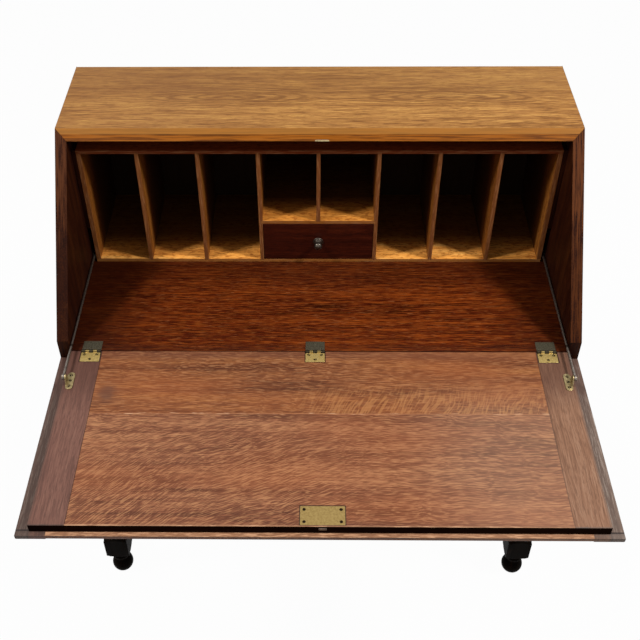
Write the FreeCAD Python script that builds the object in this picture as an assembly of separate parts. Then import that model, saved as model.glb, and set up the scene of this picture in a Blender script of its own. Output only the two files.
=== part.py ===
import FreeCAD, Part

import math
import os

# Writing bureau with its fall open and level.
# Lengths are in millimetres and angles in degrees.
# X runs from left to right, Y from front to back and Z up from the floor.
# The pieces are drawn with Y = 0 on the front of the case, and moved at the
# end so that the origin is the middle of the floor under the open bureau.

# Main sizes of the bureau
case_width = 914.0
case_depth = 456.0
writing_height = 725.0
desk_rise = 301.0
slope_angle = 48.6
closing_angle = 180.0 - slope_angle

# Boards of the case
side_thick = 20.0
top_thick = 17.0
writing_thick = 26.0
bottom_thick = 18.0
back_thick = 6.0
back_rebate = 10.0
housing_depth = 6.0
lipping_depth = 16.0

# Clearances: between pieces that move, and round screws and pins
moving_gap = 0.3
raised_side_gap = 1.0
closing_gap = 1.5
drawer_gap = 0.8
pin_gap = 0.05
screw_gap = 0.1
overrun = 5.0

# Turned work has flat sides, few enough to keep the model light
turned_sides = 12
small_turned_sides = 8
screw_sides = 8
oval_sides = 20

# Fall: two boards between two cleats, rebated all round its writing face
fall_thick = 24.0
lip_thick = 8.0
lip_reach = 8.0
rear_board_depth = 143.0
cleat_lap = 30.0
cleat_width = 55.0
lip_round = 2.0

# Pigeonholes
unit_set_back = 243.0
unit_height = 256.0
unit_base_thick = 7.0
unit_end_thick = 8.0
divider_thick = 7.0
divider_housing = 2.5
bay_count = 8
outer_bay_width = 94.7
drawer_bay_count = 2
shelf_height = 93.0
shelf_thick = 7.0
stay_slot_width = 8.0
stay_slot_height = 82.0

# Small drawer under the shelf
small_front_thick = 11.0
small_side_thick = 6.0
small_side_drop = 6.0
small_bottom_thick = 3.0
small_back_room = 27.0
small_groove = 3.0
small_tail_length = 8.0
small_tail_count = 3

# Long drawer in the case
long_height = 120.0
long_front_thick = 20.0
long_side_thick = 11.0
long_side_drop = 8.0
long_bottom_thick = 4.0
long_groove = 5.0
long_tail_length = 15.0
long_tail_count = 4
tail_splay = 8.0
tail_tip_share = 0.36
long_knob_reach = 250.0

# Knobs: the small one is drawn full size and the long drawer's are larger
knob_flange_radius = 10.0
knob_flange_thick = 3.0
knob_neck_radius = 3.4
knob_neck_length = 7.0
knob_head_radius = 8.0
knob_head_thick = 9.0
knob_spigot_radius = 2.5
knob_dome_steps = 4
long_knob_scale = 1.7

# Hinges of the fall
hinge_width = 34.0
hinge_leaf_depth = 25.0
hinge_leaf_thick = 2.0
knuckle_radius = 3.0
knuckle_count = 5
hinge_pin_radius = 1.5
hinge_end_gap = 19.0
middle_hinge_x = -5.5

# Countersunk screws of all the brass fittings
screw_head_radius = 2.7
screw_shank_radius = 1.4
screw_length = 12.0
screw_edge = 6.0
screw_far_edge = 8.0

# Lock of the fall
lock_x = 6.0
lock_width = 68.0
lock_depth = 34.0
lock_front_margin = 3.0
lock_plate_thick = 2.0
lock_corner = 1.2
lock_box_width = 48.0
lock_box_depth = 30.0
lock_box_height = 9.0
lock_wall = 1.5
bolt_width = 12.0
bolt_thick = 5.0
bolt_length = 25.0
bolt_travel = 13.0
bolt_drop = 4.0
bolt_back_set = 0.5
bolt_nose_round = 1.2
key_radius = 3.2
key_slot_width = 3.0
key_slot_length = 9.0
key_set_back = 20.0
escutcheon_width = 20.0
escutcheon_length = 34.0
escutcheon_thick = 1.2
strike_width = 24.0
strike_depth = 22.0
strike_thick = 1.6
mortise_gap = 1.0

# Stays: a bracket on the fall, a rod, and a stop peg in the case
stay_pivot_reach = 74.0
stay_pivot_rise = 13.5
stay_rod_radius = 2.2
stay_length = 335.0
stay_eye_radius = 5.0
stay_eye_thick = 4.4
stay_tail_drop = 9.5
stay_bend = 6.0
stay_bend_steps = 4
stay_peg_radius = 3.0
stay_peg_socket = 10.0
stay_plate_length = 38.5
stay_plate_width = 12.7
stay_plate_thick = 1.6
stay_plate_forward = 17.0
stay_ear_thick = 2.0
stay_ear_foot = 18.0
stay_pivot_radius = 2.0
stay_head_radius = 3.2
stay_head_thick = 0.9
stay_screw_step = 12.0

# Stand: turned legs, side rails and stretchers
# It is a little wider than the case, and its front legs stand forward of it.
leg_square = 50.0
leg_side_proud = 10.0
leg_front_proud = 5.0
foot_radius = 23.0
foot_flat_radius = 10.0
foot_neck_radius = 14.0
foot_neck_length = 8.5
foot_ring_radius = 20.0
foot_ring_length = 16.0
foot_block_height = 65.0
block_shoulder = 6.0
top_block_height = 60.0
bead_radius = 17.0
bead_length = 12.0
bead_neck_radius = 12.0
vase_top_radius = 12.5
vase_belly_radius = 19.0
vase_belly_share = 0.28
vase_steps = 7
ball_steps = 5
bead_shoulder_share = 1 / 3
rail_thick = 22.0
rail_height = 48.0
stretcher_width = 24.0
stretcher_height = 30.0
stretcher_round = 5.0
tenon_thick = 8.0
tenon_length = 18.0
tenon_shoulder = 6.0
leg_tenon = 14.0
leg_tenon_length = 12.0

# Places that follow from the sizes above
slope_radians = math.radians(slope_angle)
slope_cos = math.cos(slope_radians)
slope_sin = math.sin(slope_radians)
half_width = case_width / 2
inner_half = half_width - side_thick
top_z = writing_height + desk_rise
top_under_z = top_z - top_thick
rebate_depth = fall_thick - lip_thick
slope_offset = rebate_depth - moving_gap
slope_foot_z = writing_height + slope_offset / slope_cos
board_under_z = writing_height - writing_thick
drawer_floor_z = board_under_z - long_height
case_under_z = drawer_floor_z - bottom_thick
back_face_y = case_depth - back_thick
raised_half = inner_half - raised_side_gap


def slope_y(z):
    """Return how far back the slope of the case is at the height z."""
    return (z - slope_foot_z) * slope_cos / slope_sin


slope_reach = slope_y(top_under_z) * slope_cos + (top_under_z - writing_height) * slope_sin
raised_length = slope_reach - closing_gap
fall_reach = raised_length + lip_reach
front_y = (fall_reach - case_depth) / 2

unit_half = inner_half - stay_slot_width
unit_top_z = writing_height + unit_height
unit_floor_z = writing_height + unit_base_thick
unit_roof_z = unit_top_z - divider_thick
unit_inner_half = unit_half - unit_end_thick
shelf_z = writing_height + shelf_height
hinge_reach = raised_half - hinge_end_gap - hinge_width / 2
hinge_places = (-hinge_reach, middle_hinge_x, hinge_reach)
stay_x = (unit_half + inner_half) / 2
drawer_bay_first = (bay_count - drawer_bay_count) // 2
drawer_bay_last = drawer_bay_first + drawer_bay_count
bay_pitch = 2 * (unit_inner_half - outer_bay_width - divider_thick / 2) / (bay_count - 2)
ball_z = math.sqrt(foot_radius ** 2 - foot_flat_radius ** 2)
neck_z = ball_z + math.sqrt(foot_radius ** 2 - foot_neck_radius ** 2)
block_z = neck_z + 2 * foot_neck_length + foot_ring_length
block_top = block_z + foot_block_height
column_end = case_under_z - top_block_height
stretcher_z = (block_z + block_top) / 2
hinge_place = FreeCAD.Vector(0, 0, writing_height)
to_right = FreeCAD.Vector(1, 0, 0)
to_back = FreeCAD.Vector(0, 1, 0)
to_top = FreeCAD.Vector(0, 0, 1)


def box(x_low, x_high, y_low, y_high, z_low, z_high):
    """Return the block between two corners."""
    corner = FreeCAD.Vector(x_low, y_low, z_low)
    return Part.makeBox(x_high - x_low, y_high - y_low, z_high - z_low, corner)


def prism(points, push):
    """Return the solid that a closed outline of corner points sweeps along push."""
    corners = [FreeCAD.Vector(point) for point in points]
    outline = Part.makePolygon(corners + corners[:1])
    return Part.Face(outline).extrude(push)


def side_prism(yz_points, x_low, x_high):
    """Return a prism across the bureau from an outline drawn in Y and Z."""
    points = [(x_low, y, z) for y, z in yz_points]
    return prism(points, FreeCAD.Vector(x_high - x_low, 0, 0))


def front_prism(xz_points, y_low, y_high):
    """Return a prism from front to back from an outline drawn in X and Z."""
    points = [(x, y_low, z) for x, z in xz_points]
    return prism(points, FreeCAD.Vector(0, y_high - y_low, 0))


def rod(start, direction, length, radius):
    """Return a round bar."""
    return Part.makeCylinder(radius, length, start, direction)


def ring(radius, z, sides):
    """Return the corners of a flat sided ring round the Z axis, at a height."""
    corners = []
    for index in range(sides):
        angle = 2 * math.pi * index / sides
        corners.append(FreeCAD.Vector(radius * math.cos(angle), radius * math.sin(angle), z))
    return corners


def flat_face(corners):
    """Return the flat face inside a closed line of corners."""
    return Part.Face(Part.makePolygon(corners + corners[:1]))


def skin(rings):
    """Return the solid with flat sides that runs through rings of corners."""
    faces = [flat_face(rings[0]), flat_face(rings[-1])]
    for low, high in zip(rings, rings[1:]):
        for index in range(len(low)):
            before = index - 1
            faces.append(flat_face([low[before], low[index], high[index], high[before]]))
    shell = Part.makeShell(faces)
    shell.sewShape()
    return Part.makeSolid(shell)


def turned(profile, sides):
    """Return a solid turned round the Z axis from its radii and heights."""
    return skin([ring(radius, z, sides) for radius, z in profile])


def turned_bar(start, direction, length, radius, sides):
    """Return a bar with flat sides, its arrises at the radius."""
    bar = turned([(radius, 0), (radius, length)], sides)
    bar.Placement = FreeCAD.Placement(start, FreeCAD.Rotation(to_top, direction))
    return bar


def round_about(radius, sides):
    """Return the radius of a flat sided hole that a round bar of the radius just fills."""
    return radius / math.cos(math.pi / sides)


def both_signs():
    """Return the left and right hand names with the sign of X on each side."""
    return (("left", -1), ("right", 1))


def span(sign, inner, outer):
    """Return the low and high X of a stretch given for the right hand side."""
    return min(sign * inner, sign * outer), max(sign * inner, sign * outer)


def closed(shape):
    """Return a copy of a piece of the fall, turned to where it is when shut."""
    turned = shape.copy()
    turned.rotate(hinge_place, -to_right, closing_angle)
    return turned


def round_edges(shape, radius, wanted):
    """Return the shape with a small round on the straight edges that wanted picks."""
    edges = [edge for edge in shape.Edges if all(wanted(vertex.Point) for vertex in edge.Vertexes)]
    return shape.makeFillet(radius, edges)


def near(value, place):
    """Tell whether a coordinate lies on a place."""
    return abs(value - place) < moving_gap


def save(name, shape):
    """Write one sub-part, moved so that the origin is the middle of the bureau."""
    moved = shape.copy()
    moved.translate(FreeCAD.Vector(0, front_y, 0))
    moved.exportStep("parts/" + name + ".step")
    print(name, "volume", round(moved.Volume), "solids", len(moved.Solids))


# Screws and their holes

def countersunk(x, y, z, gap):
    """Return a screw body below its flush head, wider by gap for its hole."""
    neck_depth = screw_head_radius - screw_shank_radius
    body = turned(
        [
            (screw_head_radius + gap, 0),
            (screw_shank_radius + gap, -neck_depth),
            (screw_shank_radius + gap, -screw_length - gap),
        ],
        screw_sides,
    )
    body.translate(FreeCAD.Vector(x, y, z))
    return body


def screw_holes(places):
    """Return the holes for screws that point down from the places."""
    return Part.makeCompound([countersunk(x, y, z, screw_gap) for x, y, z in places])


def screw_set(places):
    """Return the screws of a fitting."""
    return [countersunk(x, y, z, 0) for x, y, z in places]


def hinge_screw_places(side):
    """Return the three screw places of every leaf on the fall (-1) or the case (1)."""
    row = hinge_leaf_depth - screw_edge
    near_row = screw_far_edge
    shift = hinge_width / 2 - screw_edge
    places = []
    for x in hinge_places:
        places.append((x - shift, side * near_row, writing_height))
        places.append((x + shift, side * near_row, writing_height))
        places.append((x, side * row, writing_height))
    return places


def lock_screw_places():
    """Return the four corner screws of the lock's plate."""
    back = -raised_length + lock_front_margin + lock_depth - screw_edge
    front = -raised_length + lock_front_margin + screw_edge
    shift = lock_width / 2 - screw_edge
    return [(lock_x + sign * shift, y, writing_height) for sign in (-1, 1) for y in (front, back)]


def stay_screw_places():
    """Return the three screws in the plate of each stay bracket."""
    middle = stay_plate_middle()
    z = writing_height + stay_plate_thick
    x = stay_plate_line()
    steps = (-1, 0, 1)
    return [
        (sign * x, middle + step * stay_screw_step, z)
        for hand, sign in both_signs() for step in steps
    ]


def stay_plate_middle():
    """Return the Y of the middle of a stay bracket's plate."""
    return -stay_pivot_reach - stay_plate_forward + stay_plate_length / 2


def stay_plate_line():
    """Return the distance of the bracket's screws from the middle of the bureau."""
    return ear_inner_x() - stay_plate_width / 2 + stay_ear_thick


def ear_inner_x():
    """Return the inner face of the ear that stands beside the rod's eye."""
    return stay_x - stay_eye_thick / 2 - moving_gap - stay_ear_thick


# Case

def side_outline():
    """Return the outline of a side board, sloped at the front of the desk."""
    return [
        (0, case_under_z),
        (0, slope_foot_z),
        (slope_y(top_z), top_z),
        (case_depth, top_z),
        (case_depth, case_under_z),
    ]


def case_side(sign):
    """Return a side board: mitred at the top, housed for two boards, rebated behind."""
    low, high = span(sign, inner_half, half_width)
    board = side_prism(side_outline(), low, high)
    mitre = front_prism(
        [(sign * inner_half, top_under_z), (sign * half_width, top_z), (sign * inner_half, top_z)],
        -overrun, case_depth + overrun,
    )
    low, high = span(sign, inner_half - overrun, inner_half + housing_depth)
    writing_housing = box(low, high, lipping_depth, back_face_y, board_under_z, writing_height)
    bottom_housing = box(
        low, high, lipping_depth, back_face_y, case_under_z - overrun, drawer_floor_z
    )
    low, high = span(sign, inner_half - overrun, inner_half + back_rebate)
    rebate = box(low, high, back_face_y, case_depth + overrun, case_under_z - overrun, top_z)
    board = board.cut([mitre, writing_housing, bottom_housing, rebate, stay_peg_hole(sign)])
    return board


def stay_peg_hole(sign):
    """Return the socket of a stop peg in a case side."""
    low, high = span(sign, inner_half - overrun, inner_half + stay_peg_socket)
    start = FreeCAD.Vector(low, peg_y(), peg_z())
    return turned_bar(start, to_right, high - low, stay_peg_radius, turned_sides)


def top_board():
    """Return the top: mitred at both ends and bevelled in line with the slope."""
    outline = [
        (-half_width, top_z),
        (half_width, top_z),
        (inner_half, top_under_z),
        (-inner_half, top_under_z),
    ]
    board = front_prism(outline, 0, case_depth)
    slope = side_prism(
        [(slope_y(top_under_z - overrun), top_under_z - overrun), (slope_y(top_z + overrun),
         top_z + overrun), (-overrun, top_z + overrun), (-overrun, top_under_z - overrun)],
        -case_width, case_width,
    )
    back_seat = box(
        -inner_half - back_rebate, inner_half + back_rebate, back_face_y, case_depth + overrun,
        top_under_z - overrun, top_z - back_rebate,
    )
    board = board.cut([slope, back_seat, strike_block(), bolt_mortise()])
    return round_edges(
        board, lip_round, lambda point: near(point.z, top_z) and near(point.y, case_depth)
    )


def back_panel():
    """Return the thin back that closes the case and ties its sides."""
    reach = inner_half + back_rebate
    return box(-reach, reach, back_face_y, case_depth, case_under_z, top_z - back_rebate)


def hinge_recess(side):
    """Return the sinkings for every hinge leaf on the fall (-1) or the case (1)."""
    cuts = []
    for x in hinge_places:
        y_low, y_high = sorted((0, side * hinge_leaf_depth))
        low = x - hinge_width / 2
        high = x + hinge_width / 2
        cuts.append(box(low, high, y_low, y_high, writing_height - hinge_leaf_thick, top_z))
        start = FreeCAD.Vector(low, 0, writing_height)
        radius = round_about(knuckle_radius + moving_gap, small_turned_sides)
        cuts.append(turned_bar(start, to_right, hinge_width, radius, small_turned_sides))
    return cuts


def writing_board():
    """Return the fixed board inside the desk, behind its lipping."""
    reach = inner_half + housing_depth
    board = box(-reach, reach, lipping_depth, back_face_y, board_under_z, writing_height)
    return board.cut(hinge_recess(1) + [screw_holes(hinge_screw_places(1))])


def writing_board_lipping():
    """Return the strip along the front of the writing board that takes the hinges."""
    strip = box(-inner_half, inner_half, 0, lipping_depth, board_under_z, writing_height)
    return strip.cut(hinge_recess(1) + [screw_holes(hinge_screw_places(1))])


def bottom_board():
    """Return the board that the long drawer runs on, notched behind its front edge."""
    reach = inner_half + housing_depth
    front = box(-inner_half, inner_half, 0, lipping_depth, case_under_z, drawer_floor_z)
    rest = box(-reach, reach, lipping_depth, back_face_y, case_under_z, drawer_floor_z)
    board = front.fuse(rest).removeSplitter()
    return board.cut([leg_tenon_block(x_sign, y) for x_sign in (-1, 1) for y in leg_lines()])


# Pigeonholes

def divider_x(index):
    """Return the middle of a divider, counted from 1 at the left."""
    return (index - bay_count / 2) * bay_pitch


def unit_end(sign):
    """Return an end panel of the pigeonholes, between their base and top."""
    low, high = span(sign, unit_inner_half, unit_half)
    return box(low, high, unit_set_back, back_face_y, unit_floor_z, unit_roof_z)


def full_dividers():
    """Return the numbers of the dividers that run from base to top."""
    middle = bay_count // 2
    return [index for index in range(1, bay_count) if index != middle]


def divider(index, z_low):
    """Return a divider let into the boards above and below it."""
    x = divider_x(index)
    return box(
        x - divider_thick / 2, x + divider_thick / 2, unit_set_back, back_face_y,
        z_low - divider_housing, unit_roof_z + divider_housing,
    )


def unit_base():
    """Return the base board of the pigeonholes, grooved for the full dividers."""
    board = box(
        -unit_half, unit_half, unit_set_back, back_face_y, writing_height, unit_floor_z
    )
    return board.cut([divider(index, unit_floor_z) for index in full_dividers()])


def unit_top():
    """Return the top board of the pigeonholes, grooved for all the dividers."""
    board = box(-unit_half, unit_half, unit_set_back, back_face_y, unit_roof_z, unit_top_z)
    return board.cut([divider(index, unit_floor_z) for index in range(1, bay_count)])


def shelf_groove():
    """Return the block of the shelf with its two ends let into the dividers."""
    left = divider_x(drawer_bay_first) + divider_thick / 2 - divider_housing
    right = divider_x(drawer_bay_last) - divider_thick / 2 + divider_housing
    return box(left, right, unit_set_back, back_face_y, shelf_z, shelf_z + shelf_thick)


def unit_shelf():
    """Return the shelf over the small drawer, grooved for the short divider."""
    return shelf_groove().cut(divider(bay_count // 2, shelf_z + shelf_thick))


def slot_filler(sign):
    """Return the strip that closes the top of the gap beside the pigeonholes."""
    low, high = span(sign, unit_half, inner_half)
    return box(
        low, high, unit_set_back, back_face_y, writing_height + stay_slot_height, unit_top_z
    )


# Drawers

def tails(count, x_low, x_high, y_low, length, z_low, z_high):
    """Return the dovetails at the front end of a drawer side, drawn in Y and Z."""
    pitch = (z_high - z_low) / count
    splay = length * math.tan(math.radians(tail_splay))
    shapes = []
    for index in range(count):
        middle = z_low + (index + 0.5) * pitch
        tip = pitch * tail_tip_share
        root = tip - splay
        outline = [
            (y_low, middle - tip),
            (y_low, middle + tip),
            (y_low + length, middle + root),
            (y_low + length, middle - root),
        ]
        shapes.append(side_prism(outline, x_low, x_high))
    return shapes


def drawer_pieces(spec):
    """Return the five boards of a drawer from its outer sizes and board sizes."""
    half = spec["half"]
    front_y_low = spec["y"]
    inner_y = front_y_low + spec["front_thick"]
    side = spec["side_thick"]
    z_low = spec["z"]
    z_high = spec["z"] + spec["height"]
    side_top = z_high - spec["side_drop"]
    groove = spec["groove"]
    y_end = front_y_low + spec["depth"]
    bottom_z = z_low + groove
    bottom = box(
        -half + side - groove, half - side + groove, inner_y - groove, y_end,
        bottom_z, bottom_z + spec["bottom_thick"],
    )
    front = box(-half, half, front_y_low, inner_y, z_low, z_high)
    back = box(
        -half + side, half - side, y_end - side, y_end, bottom_z + spec["bottom_thick"], side_top
    )
    pieces = {}
    sockets = []
    for hand, sign in both_signs():
        low, high = span(sign, half - side, half)
        tail_y = inner_y - spec["tail_length"]
        tail_set = tails(
            spec["tail_count"], low, high, tail_y, spec["tail_length"], z_low, side_top
        )
        board = box(low, high, inner_y, y_end, z_low, side_top).fuse(tail_set).removeSplitter()
        pieces["side_" + hand] = board.cut(bottom)
        sockets += tail_set
    knob_cuts = [knob_spigot(x, spec) for x in spec["knobs"]]
    pieces["front"] = front.cut(sockets + [bottom] + knob_cuts)
    pieces["back"] = back
    pieces["bottom"] = bottom
    return pieces


def small_drawer_spec():
    """Return the sizes of the small drawer between two dividers."""
    left = divider_x(drawer_bay_first) + divider_thick / 2
    return {
        "half": -left - drawer_gap,
        "y": unit_set_back,
        "z": unit_floor_z + moving_gap,
        "height": shelf_z - drawer_gap - unit_floor_z - moving_gap,
        "depth": back_face_y - unit_set_back - small_back_room,
        "front_thick": small_front_thick,
        "side_thick": small_side_thick,
        "side_drop": small_side_drop,
        "bottom_thick": small_bottom_thick,
        "groove": small_groove,
        "tail_length": small_tail_length,
        "tail_count": small_tail_count,
        "knobs": (0,),
        "knob_scale": 1.0,
    }


def long_drawer_spec():
    """Return the sizes of the long drawer that fills the case below the desk."""
    return {
        "half": inner_half - drawer_gap,
        "y": 0,
        "z": drawer_floor_z + moving_gap,
        "height": long_height - drawer_gap - moving_gap,
        "depth": back_face_y - moving_gap,
        "front_thick": long_front_thick,
        "side_thick": long_side_thick,
        "side_drop": long_side_drop,
        "bottom_thick": long_bottom_thick,
        "groove": long_groove,
        "tail_length": long_tail_length,
        "tail_count": long_tail_count,
        "knobs": (-long_knob_reach, long_knob_reach),
        "knob_scale": long_knob_scale,
    }


def knob_spigot(x, spec):
    """Return the round tail of a knob, in the drawer's front."""
    z = spec["z"] + spec["height"] / 2
    start = FreeCAD.Vector(x, spec["y"], z)
    radius = knob_spigot_radius * spec["knob_scale"]
    return turned_bar(start, to_back, spec["front_thick"], radius, turned_sides)


def knob(x, spec):
    """Return a turned knob: flange, hollow neck and domed head on its spigot."""
    size = spec["knob_scale"]
    flange = knob_flange_radius * size
    neck = knob_neck_radius * size
    head = knob_head_radius * size
    flange_end = knob_flange_thick * size
    neck_end = flange_end + knob_neck_length * size
    widest = neck_end + knob_head_thick / 2 * size
    dome_height = knob_head_thick / 2 * size
    dome_radius = (dome_height ** 2 + head ** 2) / (2 * dome_height)
    dome_angle = math.asin(head / dome_radius)
    profile = [
        (flange, 0),
        (flange, flange_end / 2),
        ((flange + neck) / 2, flange_end),
        (neck, flange_end * 2),
        (neck, neck_end),
    ]
    for step in range(knob_dome_steps):
        angle = dome_angle * (1 - step / knob_dome_steps)
        drop = dome_radius * (math.cos(angle) - math.cos(dome_angle))
        profile.append((dome_radius * math.sin(angle), widest + drop))
    body = turned(profile, turned_sides)
    z = spec["z"] + spec["height"] / 2
    body.Placement = FreeCAD.Placement(
        FreeCAD.Vector(x, spec["y"], z), FreeCAD.Rotation(to_top, -to_back)
    )
    return body.fuse(knob_spigot(x, spec))


# Fall

def fall_board_half(y_front, y_back):
    """Return the middle of the fall between two lines, lapped under the cleats."""
    step_z = writing_height - rebate_depth
    under_z = writing_height - fall_thick
    joint_x = raised_half - cleat_width
    lap_x = joint_x + cleat_lap
    upper_front = max(y_front, -raised_length)
    upper = box(-joint_x, joint_x, upper_front, y_back, step_z, writing_height)
    lower = box(-lap_x, lap_x, y_front, y_back, under_z, step_z)
    return upper.fuse(lower).removeSplitter()


def fall_cuts():
    """Return everything that is sunk into the writing face of the fall."""
    cuts = hinge_recess(-1)
    cuts.append(screw_holes(hinge_screw_places(-1)))
    cuts.append(screw_holes(lock_screw_places()))
    cuts.append(screw_holes(stay_screw_places()))
    cuts.append(lock_plate())
    cuts.append(lock_box())
    cuts.append(bolt_way())
    cuts.append(key_hole(writing_height - fall_thick - overrun, writing_height - lock_box_height))
    return cuts


def fall_rear_board():
    """Return the board of the fall next to the hinges."""
    return fall_board_half(-rear_board_depth, -moving_gap).cut(fall_cuts())


def fall_front_board():
    """Return the board of the fall with the front lip and the lock."""
    board = fall_board_half(-fall_reach, -rear_board_depth).cut(fall_cuts())
    return round_edges(board, lip_round, on_front_arris)


def on_front_arris(point):
    """Tell whether a point lies on the lower front arris of the fall."""
    return near(point.y, -fall_reach) and near(point.z, writing_height - fall_thick)


def fall_cleat(sign):
    """Return the cross piece at one end of the fall, with the side lip."""
    step_z = writing_height - rebate_depth
    under_z = writing_height - fall_thick
    joint_x = raised_half - cleat_width
    lap_x = joint_x + cleat_lap
    outline = [
        (joint_x, writing_height),
        (raised_half, writing_height),
        (raised_half, step_z),
        (half_width, step_z),
        (half_width, under_z),
        (lap_x, under_z),
        (lap_x, step_z),
        (joint_x, step_z),
    ]
    piece = front_prism([(sign * x, z) for x, z in outline], -fall_reach, -moving_gap)
    low, high = span(sign, joint_x - overrun, half_width + overrun)
    front_step = box(low, high, -fall_reach - overrun, -raised_length, step_z, top_z)
    piece = piece.cut([front_step] + fall_cuts())
    piece = round_edges(
        piece, lip_round,
        lambda point: near(abs(point.x), half_width) and near(point.z, under_z),
    )
    return piece


# Hinges

def hinge_leaves(side, own_knuckles):
    """Return the leaves of all hinges on the fall (-1) or the case (1)."""
    knuckle_width = hinge_width / knuckle_count
    bore_radius = round_about(hinge_pin_radius + pin_gap, small_turned_sides)
    inner_y = knuckle_radius + 2 * moving_gap
    leaf_under_z = writing_height - hinge_leaf_thick
    leaves = []
    for x in hinge_places:
        low = x - hinge_width / 2
        y_low, y_high = sorted((side * inner_y, side * hinge_leaf_depth))
        leaf = box(low, low + hinge_width, y_low, y_high, leaf_under_z, writing_height)
        for index in own_knuckles:
            start_x = low + index * knuckle_width + moving_gap / 2
            end_x = start_x + knuckle_width - moving_gap
            start = FreeCAD.Vector(start_x, 0, writing_height)
            y_low, y_high = sorted((0, side * inner_y))
            web = box(start_x, end_x, y_low, y_high, leaf_under_z, writing_height)
            barrel = turned_bar(
                start, to_right, knuckle_width - moving_gap, knuckle_radius, small_turned_sides
            )
            leaf = leaf.fuse([web, barrel])
        bore_start = FreeCAD.Vector(low - overrun, 0, writing_height)
        bore = turned_bar(
            bore_start, to_right, hinge_width + 2 * overrun, bore_radius, small_turned_sides
        )
        leaf = leaf.removeSplitter().cut([bore, screw_holes(hinge_screw_places(side))])
        leaves.append(leaf)
    return Part.makeCompound(leaves)


def hinge_pins():
    """Return the three pins, one through the knuckles of each hinge."""
    pins = []
    for x in hinge_places:
        start = FreeCAD.Vector(x - hinge_width / 2, 0, writing_height)
        pins.append(rod(start, to_right, hinge_width, hinge_pin_radius))
    return Part.makeCompound(pins)


# Lock

def lock_plate():
    """Return the plate of the lock, flush with the writing face."""
    front = -raised_length + lock_front_margin
    plate = box(
        lock_x - lock_width / 2, lock_x + lock_width / 2, front, front + lock_depth,
        writing_height - lock_plate_thick, writing_height,
    )
    corners = [edge for edge in plate.Edges if near(edge.Length, lock_plate_thick)]
    return plate.makeFillet(lock_corner, corners)


def lock_box():
    """Return the outside of the lock's box under its plate."""
    front = -raised_length + lock_front_margin + (lock_depth - lock_box_depth) / 2
    return box(
        lock_x - lock_box_width / 2, lock_x + lock_box_width / 2, front, front + lock_box_depth,
        writing_height - lock_plate_thick - lock_box_height, writing_height - lock_plate_thick,
    )


def bolt_block(gap, forward, backward):
    """Return the bolt at rest, grown by a gap and made longer at each end."""
    front = -raised_length + bolt_back_set
    z_high = writing_height - bolt_drop
    return box(
        lock_x - bolt_width / 2 - gap, lock_x + bolt_width / 2 + gap,
        front - forward, front + bolt_length + backward,
        z_high - bolt_thick - gap, z_high + gap,
    )


def lock_bolt():
    """Return the bolt, with its nose rounded over on the side that leads."""
    nose_y = -raised_length + bolt_back_set
    bolt = bolt_block(0, 0, 0)
    return round_edges(
        bolt, bolt_nose_round,
        lambda point: near(point.y, nose_y) and near(point.z, writing_height - bolt_drop),
    )


def bolt_way():
    """Return the slot from the lock's box out through the front of the raised face."""
    return bolt_block(moving_gap, bolt_travel, 0)


def lock_case():
    """Return the lock: plate and hollow box in one, open for the bolt and the key."""
    body = lock_plate().fuse(lock_box())
    front = -raised_length + lock_front_margin + (lock_depth - lock_box_depth) / 2
    cavity = box(
        lock_x - lock_box_width / 2 + lock_wall, lock_x + lock_box_width / 2 - lock_wall,
        front + lock_wall, front + lock_box_depth - lock_wall,
        writing_height - lock_plate_thick - lock_box_height + lock_wall,
        writing_height - lock_plate_thick,
    )
    z_high = writing_height - bolt_drop
    guide_y = front + lock_box_depth - lock_wall
    guides = []
    for sign in (-1, 1):
        inner = bolt_width / 2 + moving_gap
        low, high = span(sign, inner, inner + lock_wall)
        guides.append(box(
            lock_x + low, lock_x + high, front + lock_wall, guide_y,
            z_high - bolt_thick - lock_wall, z_high,
        ))
    rails = Part.makeCompound(guides).common(cavity)
    hole = key_hole(writing_height - fall_thick, writing_height - lock_box_height)
    body = body.cut([cavity]).fuse(rails.Solids)
    body = body.cut([bolt_way(), hole, screw_holes(lock_screw_places())])
    return body.removeSplitter()


def key_hole(z_low, z_high):
    """Return the keyhole: a round with a straight slot behind it."""
    y = -raised_length + key_set_back
    start = FreeCAD.Vector(lock_x, y, z_low)
    shaft = turned_bar(start, to_top, z_high - z_low, key_radius, turned_sides)
    slot = box(
        lock_x - key_slot_width / 2, lock_x + key_slot_width / 2, y, y + key_slot_length,
        z_low, z_high,
    )
    return shaft.fuse(slot)


def keyhole_escutcheon():
    """Return the oval plate round the keyhole on the outer face of the fall."""
    z_high = writing_height - fall_thick
    middle_y = -raised_length + key_set_back + key_radius
    corners = []
    for corner in ring(1, z_high - escutcheon_thick, oval_sides):
        x = lock_x + corner.x * escutcheon_width / 2
        y = middle_y + corner.y * escutcheon_length / 2
        corners.append(FreeCAD.Vector(x, y, corner.z))
    plate = flat_face(corners).extrude(FreeCAD.Vector(0, 0, escutcheon_thick))
    return plate.cut(key_hole(z_high - 2 * escutcheon_thick, z_high))


def strike_block():
    """Return the plate let into the underside of the top, ended by the slope."""
    back = slope_y(top_under_z) + strike_depth
    block = box(
        lock_x - strike_width / 2, lock_x + strike_width / 2, 0, back,
        top_under_z, top_under_z + strike_thick,
    )
    slope = side_prism(
        [(slope_y(top_under_z), top_under_z), (slope_y(top_z), top_z), (case_depth, top_z),
         (case_depth, top_under_z)],
        -inner_half, inner_half,
    )
    return block.common(slope)


def bolt_mortise():
    """Return the space that the shot bolt takes in the top when the fall is shut."""
    return closed(bolt_block(mortise_gap, bolt_travel + mortise_gap, 0))


def lock_strike():
    """Return the strike plate with the mouth of the bolt's mortise."""
    return strike_block().cut(bolt_mortise())


# Stays

def rod_z():
    """Return the height of the stay rods when the fall is open."""
    return writing_height + stay_pivot_rise


def tail_y():
    """Return how far back the turned down tail of a rod is when the fall is open."""
    return stay_length - stay_pivot_reach


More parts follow.
